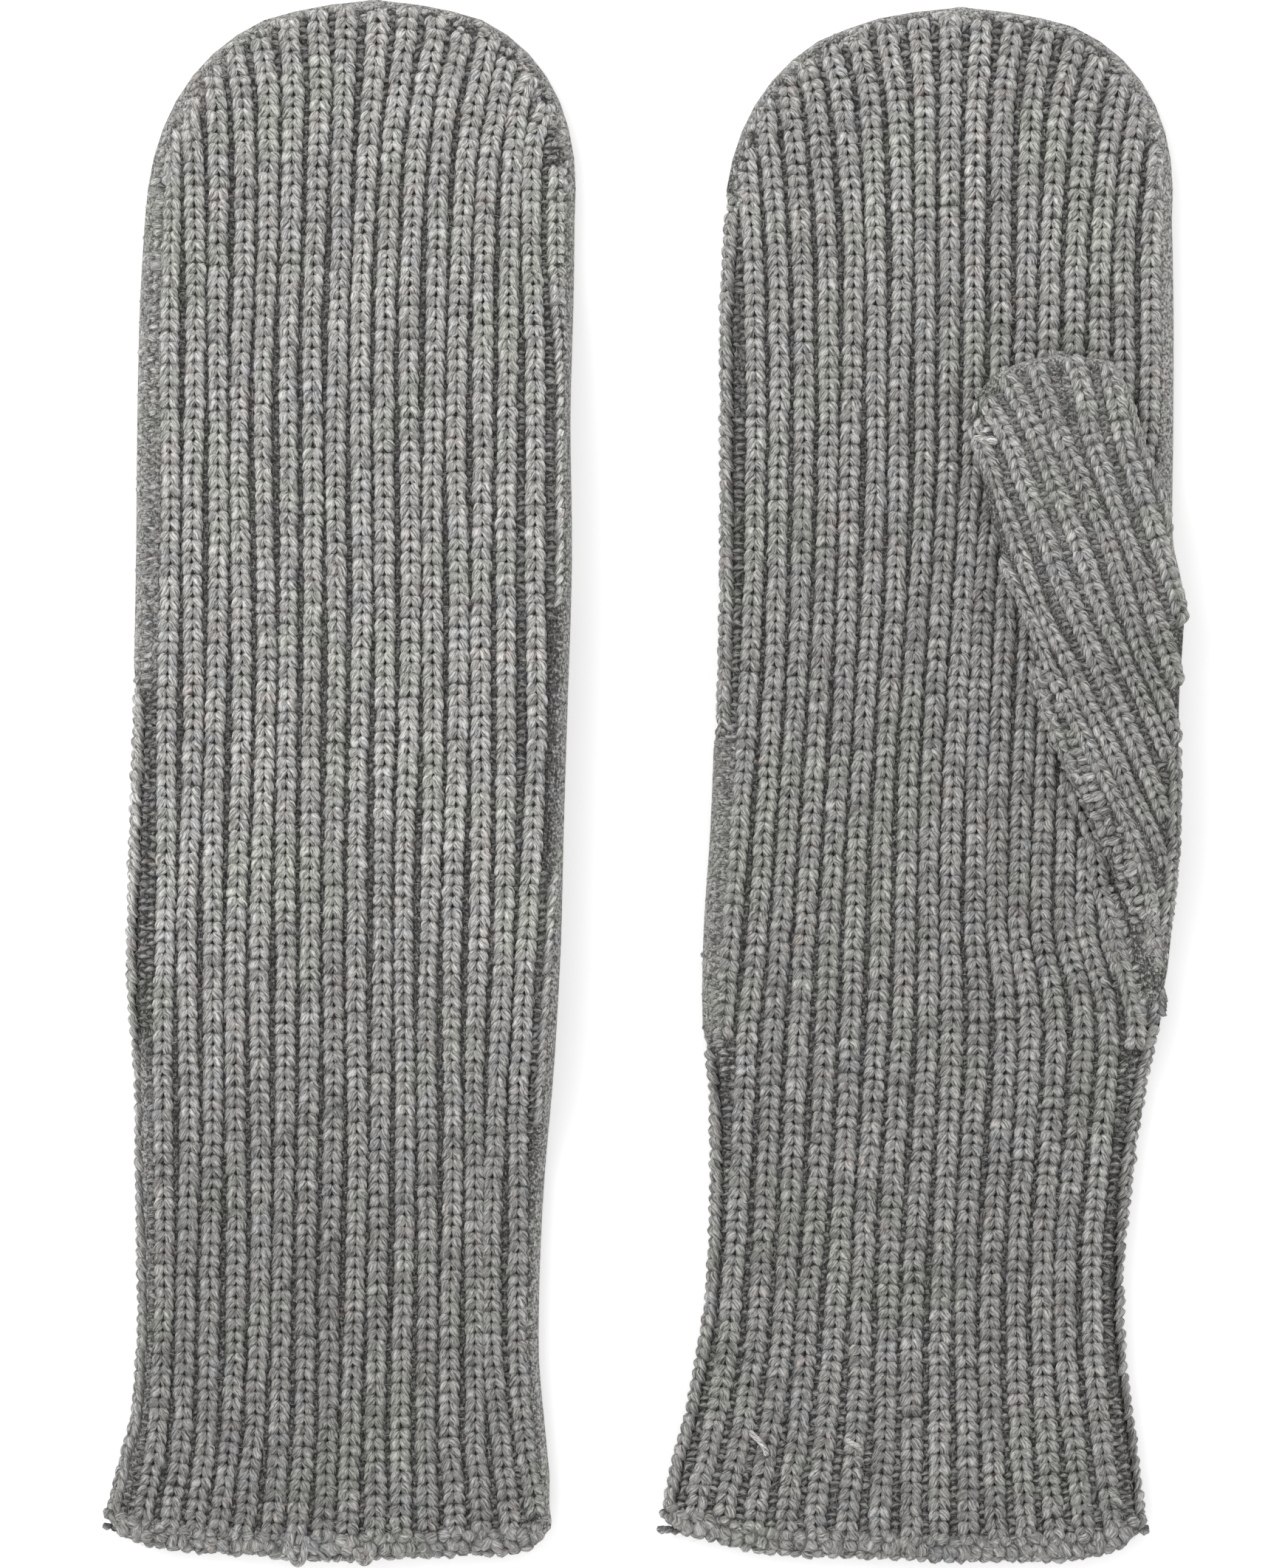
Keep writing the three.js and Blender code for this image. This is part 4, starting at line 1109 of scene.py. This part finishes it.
def bandPoints(mitten, form, rng):
    parts = []
    x0 = float(sideX(mitten, -1, -101.0)) + castOff["inset"]
    x1 = float(sideX(mitten, 1, -101.0)) - castOff["inset"]
    for height, size, lean, step in castOff["rows"]:
        x = np.linspace(x0, x1, 400)
        run = lengthAlong(onFace(form, x, endY(mitten, x) + height)[0])
        marks = np.arange(rng.uniform(0, 1), run[-1], step)
        marks = marks + rng.normal(0, 0.2, len(marks))
        x = np.interp(marks, run, x)
        x = x[(x > x0 + castOff["corner"] - height) & (x < x1 - castOff["corner"] + height)]
        count = len(x)
        y = endY(mitten, x) + height + np.clip(rng.normal(0, 0.22, count), -0.15, 0.5)
        place, out = onFace(form, x, y)
        turn = np.radians(rng.normal(lean, 28, count)) * np.where(rng.uniform(0, 1, count) < 0.5, 1, -1)
        along = np.column_stack([np.sin(turn), np.cos(turn), rng.normal(0, 0.15, count)])
        reach = np.clip((inward(form["line"], place[:, 0], place[:, 1])[0] + 0.4) / 2.0, 0.55, 1)
        parts.append(stitchSet(
            rng, place + out * 0.12, along, out + rng.normal(0, 0.15, out.shape),
            size * reach[:, None] * sizes(rng, count, (1, 0.15), (0.9, 0.12), (0.95, 0.15)),
            rng.normal(castOff["tone"], 0.06, count)))
    return joined(parts)


# Loose fibres: most of them low in the furrows, a few across the face of the ribs and on the felted outline.
def fuzzPoints(form, purl, low, count, rng):
    line = form["line"]
    x = rng.uniform(line[:, 0].min(), line[:, 0].max(), count * 12)
    y = rng.uniform(low, line[:, 1].max(), count * 12)
    distance, _ = inward(line, x, y, form["closed"])
    keep = np.flatnonzero(distance > 1.5)[:count]
    face, faceOut = onFace(form, x[keep], y[keep])
    face = face + faceOut * rng.uniform(0.5, 1.0, len(face))[:, None]
    deep = np.repeat(purl["place"], 2, axis=0)
    deepOut = np.repeat(purl["out"], 2, axis=0)
    deep = deep + rng.normal(0, 1, deep.shape) * [0.3, 0.5, 0.0]
    deep = deep + deepOut * rng.uniform(0.15, 0.6, len(deep))[:, None]
    rim = np.flatnonzero((distance > 0.3) & (distance < 2.6))
    rim = rim[feltAt(form, x[rim], y[rim]) > 0.25]
    onRim, rimOut = onFace(form, x[rim], y[rim])
    onRim = onRim + rimOut * (bulgeAt(form, x[rim], y[rim]) * form["relief"] + 0.02)[:, None]
    place, out = np.vstack([face, deep, onRim]), np.vstack([faceOut, deepOut, rimOut])
    count = len(place)
    turn = rng.uniform(0, 2 * math.pi, count)
    along = np.column_stack([np.cos(turn), np.sin(turn), rng.uniform(-0.15, 0.2, count)])
    size = np.column_stack([rng.uniform(0.7, 1.4, count), rng.uniform(0.5, 1.5, count),
                            rng.uniform(0.3, 1.5, count)])
    return stitchSet(rng, place, along, out, size, rng.uniform(0, 1, count), fibreShape["variants"])


# Loops and ends of yarn that stand loose, each along its own path: across, along, and height above the floor.
looseYarn = {
    "left": [
        {"name": "leftHangingLoop", "thick": 0.55, "tint": 0.25, "path": [
            (-47.6, -101.0, 4.8), (-47.8, -102.8, 5.0), (-47.6, -104.4, 4.4), (-46.8, -105.6, 3.4),
            (-46.0, -104.8, 4.2), (-45.7, -103.0, 5.0), (-45.4, -101.6, 4.9)]},
        {"name": "leftSmallLoop", "thick": 0.5, "tint": 0.22, "path": [
            (-38.9, -103.2, 5.0), (-38.6, -104.6, 4.4), (-37.8, -105.4, 3.6), (-37.0, -104.8, 4.3),
            (-36.6, -103.4, 5.0)]},
    ],
    "right": [
        {"name": "rightYarnEnd", "thick": 0.4, "tint": 0.75, "path": [
            (14.2, -87.4, 4.5), (14.9, -88.1, 5.4), (15.7, -88.8, 5.7), (16.4, -89.8, 5.5),
            (16.5, -90.8, 5.0)]},
        {"name": "rightYarnEndShort", "thick": 0.38, "tint": 0.7, "path": [
            (27.2, -88.4, 4.5), (27.9, -89.0, 5.4), (28.7, -89.3, 5.6), (29.4, -90.0, 5.0)]},
    ],
}


def yarnLoop(loop):
    path = np.array(loop["path"], float)
    steps = np.linspace(0, len(path) - 1, 4 * len(path))
    centre = np.column_stack([np.interp(steps, np.arange(len(path)), path[:, i]) for i in range(3)])
    for _ in range(3):
        centre[1:-1] = (centre[:-2] + 2 * centre[1:-1] + centre[2:]) / 4
    order = np.arange(len(centre))
    thick = loop["thick"] * np.clip(np.minimum(order + 1, len(centre) - order) / 2, 0.5, 1)
    rings = np.column_stack([centre, thick, thick])
    strand = strandMesh(rings, np.arange(0, 360, 45), np.random.default_rng(1), 0.0)
    mesh = templateMesh(loop["name"], [strand])
    count = len(mesh.vertices)
    # the loose yarn gets no painted shade
    mesh.attributes["deep"].data.foreach_set("value", [0.0] * count)
    for key in ("tint", "seed"):
        setAttribute(mesh, key, [loop["tint"]] * count)
    for item in mesh.uv_layers["UVMap"].data:
        item.uv = (item.uv[0], item.uv[1] * len(path) * 0.8)
    return addObject(loop["name"], mesh, wool)


def fuzzMaterial():
    s = Shader("looseFibre")
    place = s.node("ShaderNodeTexCoord", out="Object")
    tint = s.attribute("tint")
    grey = s.mix(tint, (0.12, 0.118, 0.112), (0.5, 0.49, 0.47))
    return s.finish(baseColor=s.mix(0.8, grey, heather(s, place), "MULTIPLY"), roughness=0.9, specular=0.1)


print("materials")
hairs = fuzzMaterial()
wool = yarnMaterial("heatheredWool")
# the purl yarn in the furrows is painted darker, as shade
purlWool = yarnMaterial("furrowYarn", 0.8, -0.1)
bandWool = yarnMaterial("castOffYarn", 0.85, 0.0)
ground = groundMaterial("furrowWool")


def wear(piece, node):
    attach(piece, "root")
    if node:
        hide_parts(node)


# Both faces of a mitten. Only the upper one shows, so it alone has its furrows, fibres and loose yarn.
def makeMitten(mitten, lift, seed):
    name = mitten["name"]
    topSide, underSide = ("back", "palm") if name == "left" else ("palm", "back")
    for side, up in ((topSide, 1), (underSide, -1)):
        top = up > 0
        rng = np.random.default_rng(seed + top)
        form = faceForm(mitten, up, palmLift if mitten is rightMitten and top else lift)
        label, slot = name + side.capitalize(), name + "_wool"
        grid = faceGrid(mitten, cloth["band"], None, 48)
        shell = addObject(label, wallMesh(label, form, grid), ground)
        grid = faceGrid(mitten, 0.0, cloth["band"], 9)
        band = addObject(label + "Edge", wallMesh(label + "Edge", form, grid), ground)
        ribs = faceRibs(mitten, top)
        points = knitRibs(form, ribs, rng)
        group = fineStitches if top else coarseStitches
        cuff = points["place"][:, 1] < cloth["cuffTop"]
        parts = [knit(label + "Hand", pick(points, ~cuff), group, wool),
                 knit(label + "Cuff", pick(points, cuff), group, wool),
                 knit(label + "CastOff", bandPoints(mitten, form, rng), puffs, bandWool)]
        if top:
            purl = furrowPoints(form, ribs, -102, 104, rng)
            parts += [knit(label + "Purl", purl, purlBumps, purlWool),
                      knit(label + "Fuzz", fuzzPoints(form, purl, -100, 600, rng), looseFibres, hairs, 0.0),
                      knit(label + "Strip", stripPoints(mitten, form, rng), puffs, wool, 0.0003),
                      knit(label + "Rim", rimPoints(form, 77, 150, rng), puffs, wool, 0.0004)]
            parts += [yarnLoop(loop) for loop in looseYarn[name]]
        wear(shell, f"{name}_{side}")
        wear(band, f"{name}_edge_{side}")
        for part in parts:
            wear(part, None)


# Both layers of a thumb, its base at a height above the floor.
def makeThumb(name, base, shift, group, seed):
    for side, up in (("Upper", 1), ("Lower", -1)):
        rng = np.random.default_rng(seed + (up > 0))
        form = thumbForm(base, up, shift)
        label = f"{name}Thumb{side}"
        shell = addObject(label, wallMesh(label, form, thumbGrid(shift)), ground)
        ribs = thumbRibs(form, shift)
        parts = [knit(label + "Ribs", knitRibs(form, ribs, rng), group if up > 0 else coarseStitches, wool)]
        if up > 0 and base > 0:
            palmForm = faceForm(rightMitten, 1, palmLift)
            purl = furrowPoints(form, ribs, -30, 55, rng, 1.0, 0.85)
            parts += [knit(label + "Purl", purl, purlBumps, purlWool, 0.00025),
                      knit(label + "Fuzz", fuzzPoints(form, purl, -30, 250, rng), looseFibres, hairs, 0.0),
                      knit(label + "Gather", gatherPoints(form, rng), puffs, bandWool),
                      knit(label + "Wedge", wedgePoints(palmForm, form, rng), puffs, wool, 0.0003)]
        wear(shell, f"{name}_thumb_{side.lower()}")
        for part in parts:
            wear(part, None)


print("left mitten")
makeMitten(leftMitten, leftLift, 100)
makeThumb("left", 0, thumbShape["shift"], coarseStitches, 200)
print("right mitten")
makeMitten(rightMitten, noLift, 300)
makeThumb("right", stack, 0.0, fineStitches, 400)

print("light and camera")
studio = {"floor": 0.95, "floorGlow": 0.35, "air": 0.85, "lamp": 8.0, "lampSize": 1.2,
          "lampPlace": (-0.9, 0.8, 1.3), "sensor": 36, "distance": 1.2, "centre": (-0.0004, -0.00015),
          "tall": 0.2123}

floorShader = Shader("paleFloor")
floorShade = floorShader.noise(floorShader.node("ShaderNodeTexCoord", out="Object"), 3.0, 2)
floorColour = floorShader.mix(floorShade, (studio["floor"],) * 3, (studio["floor"] * 0.99,) * 3)
floorMaterial = floorShader.finish(baseColor=floorColour, roughness=0.9, specular=0.0, emission=(1, 1, 1, 1),
                                   emissionStrength=studio["floorGlow"])
floorCorners = [(-3000, -3000, 0), (3000, -3000, 0), (3000, 3000, 0), (-3000, 3000, 0)]
floor = addObject("floor", newMesh("floor", floorCorners, [(0, 1, 2, 3)]), floorMaterial)

scene = bpy.context.scene
scene.view_settings.view_transform = "Standard"
scene.world = bpy.data.worlds.new("studio")
scene.world.use_nodes = True
air = scene.world.node_tree.nodes["Background"]
air.inputs["Color"].default_value = (1, 1, 1, 1)
air.inputs["Strength"].default_value = studio["air"]

lampData = bpy.data.lights.new("softLamp", "AREA")
lampData.shape = "DISK"
lampData.size = studio["lampSize"]
lampData.energy = studio["lamp"]
lamp = bpy.data.objects.new("softLamp", lampData)
lamp.location = studio["lampPlace"]
lamp.rotation_euler = (Vector((0, 0, 0)) - lamp.location).to_track_quat("-Z", "Y").to_euler()
scene.collection.objects.link(lamp)

cameraData = bpy.data.cameras.new("camera")
cameraData.sensor_width = studio["sensor"]
cameraData.lens = studio["sensor"] * studio["distance"] / studio["tall"]
camera = bpy.data.objects.new("camera", cameraData)
camera.location = (*studio["centre"], studio["distance"])
scene.collection.objects.link(camera)
scene.camera = camera
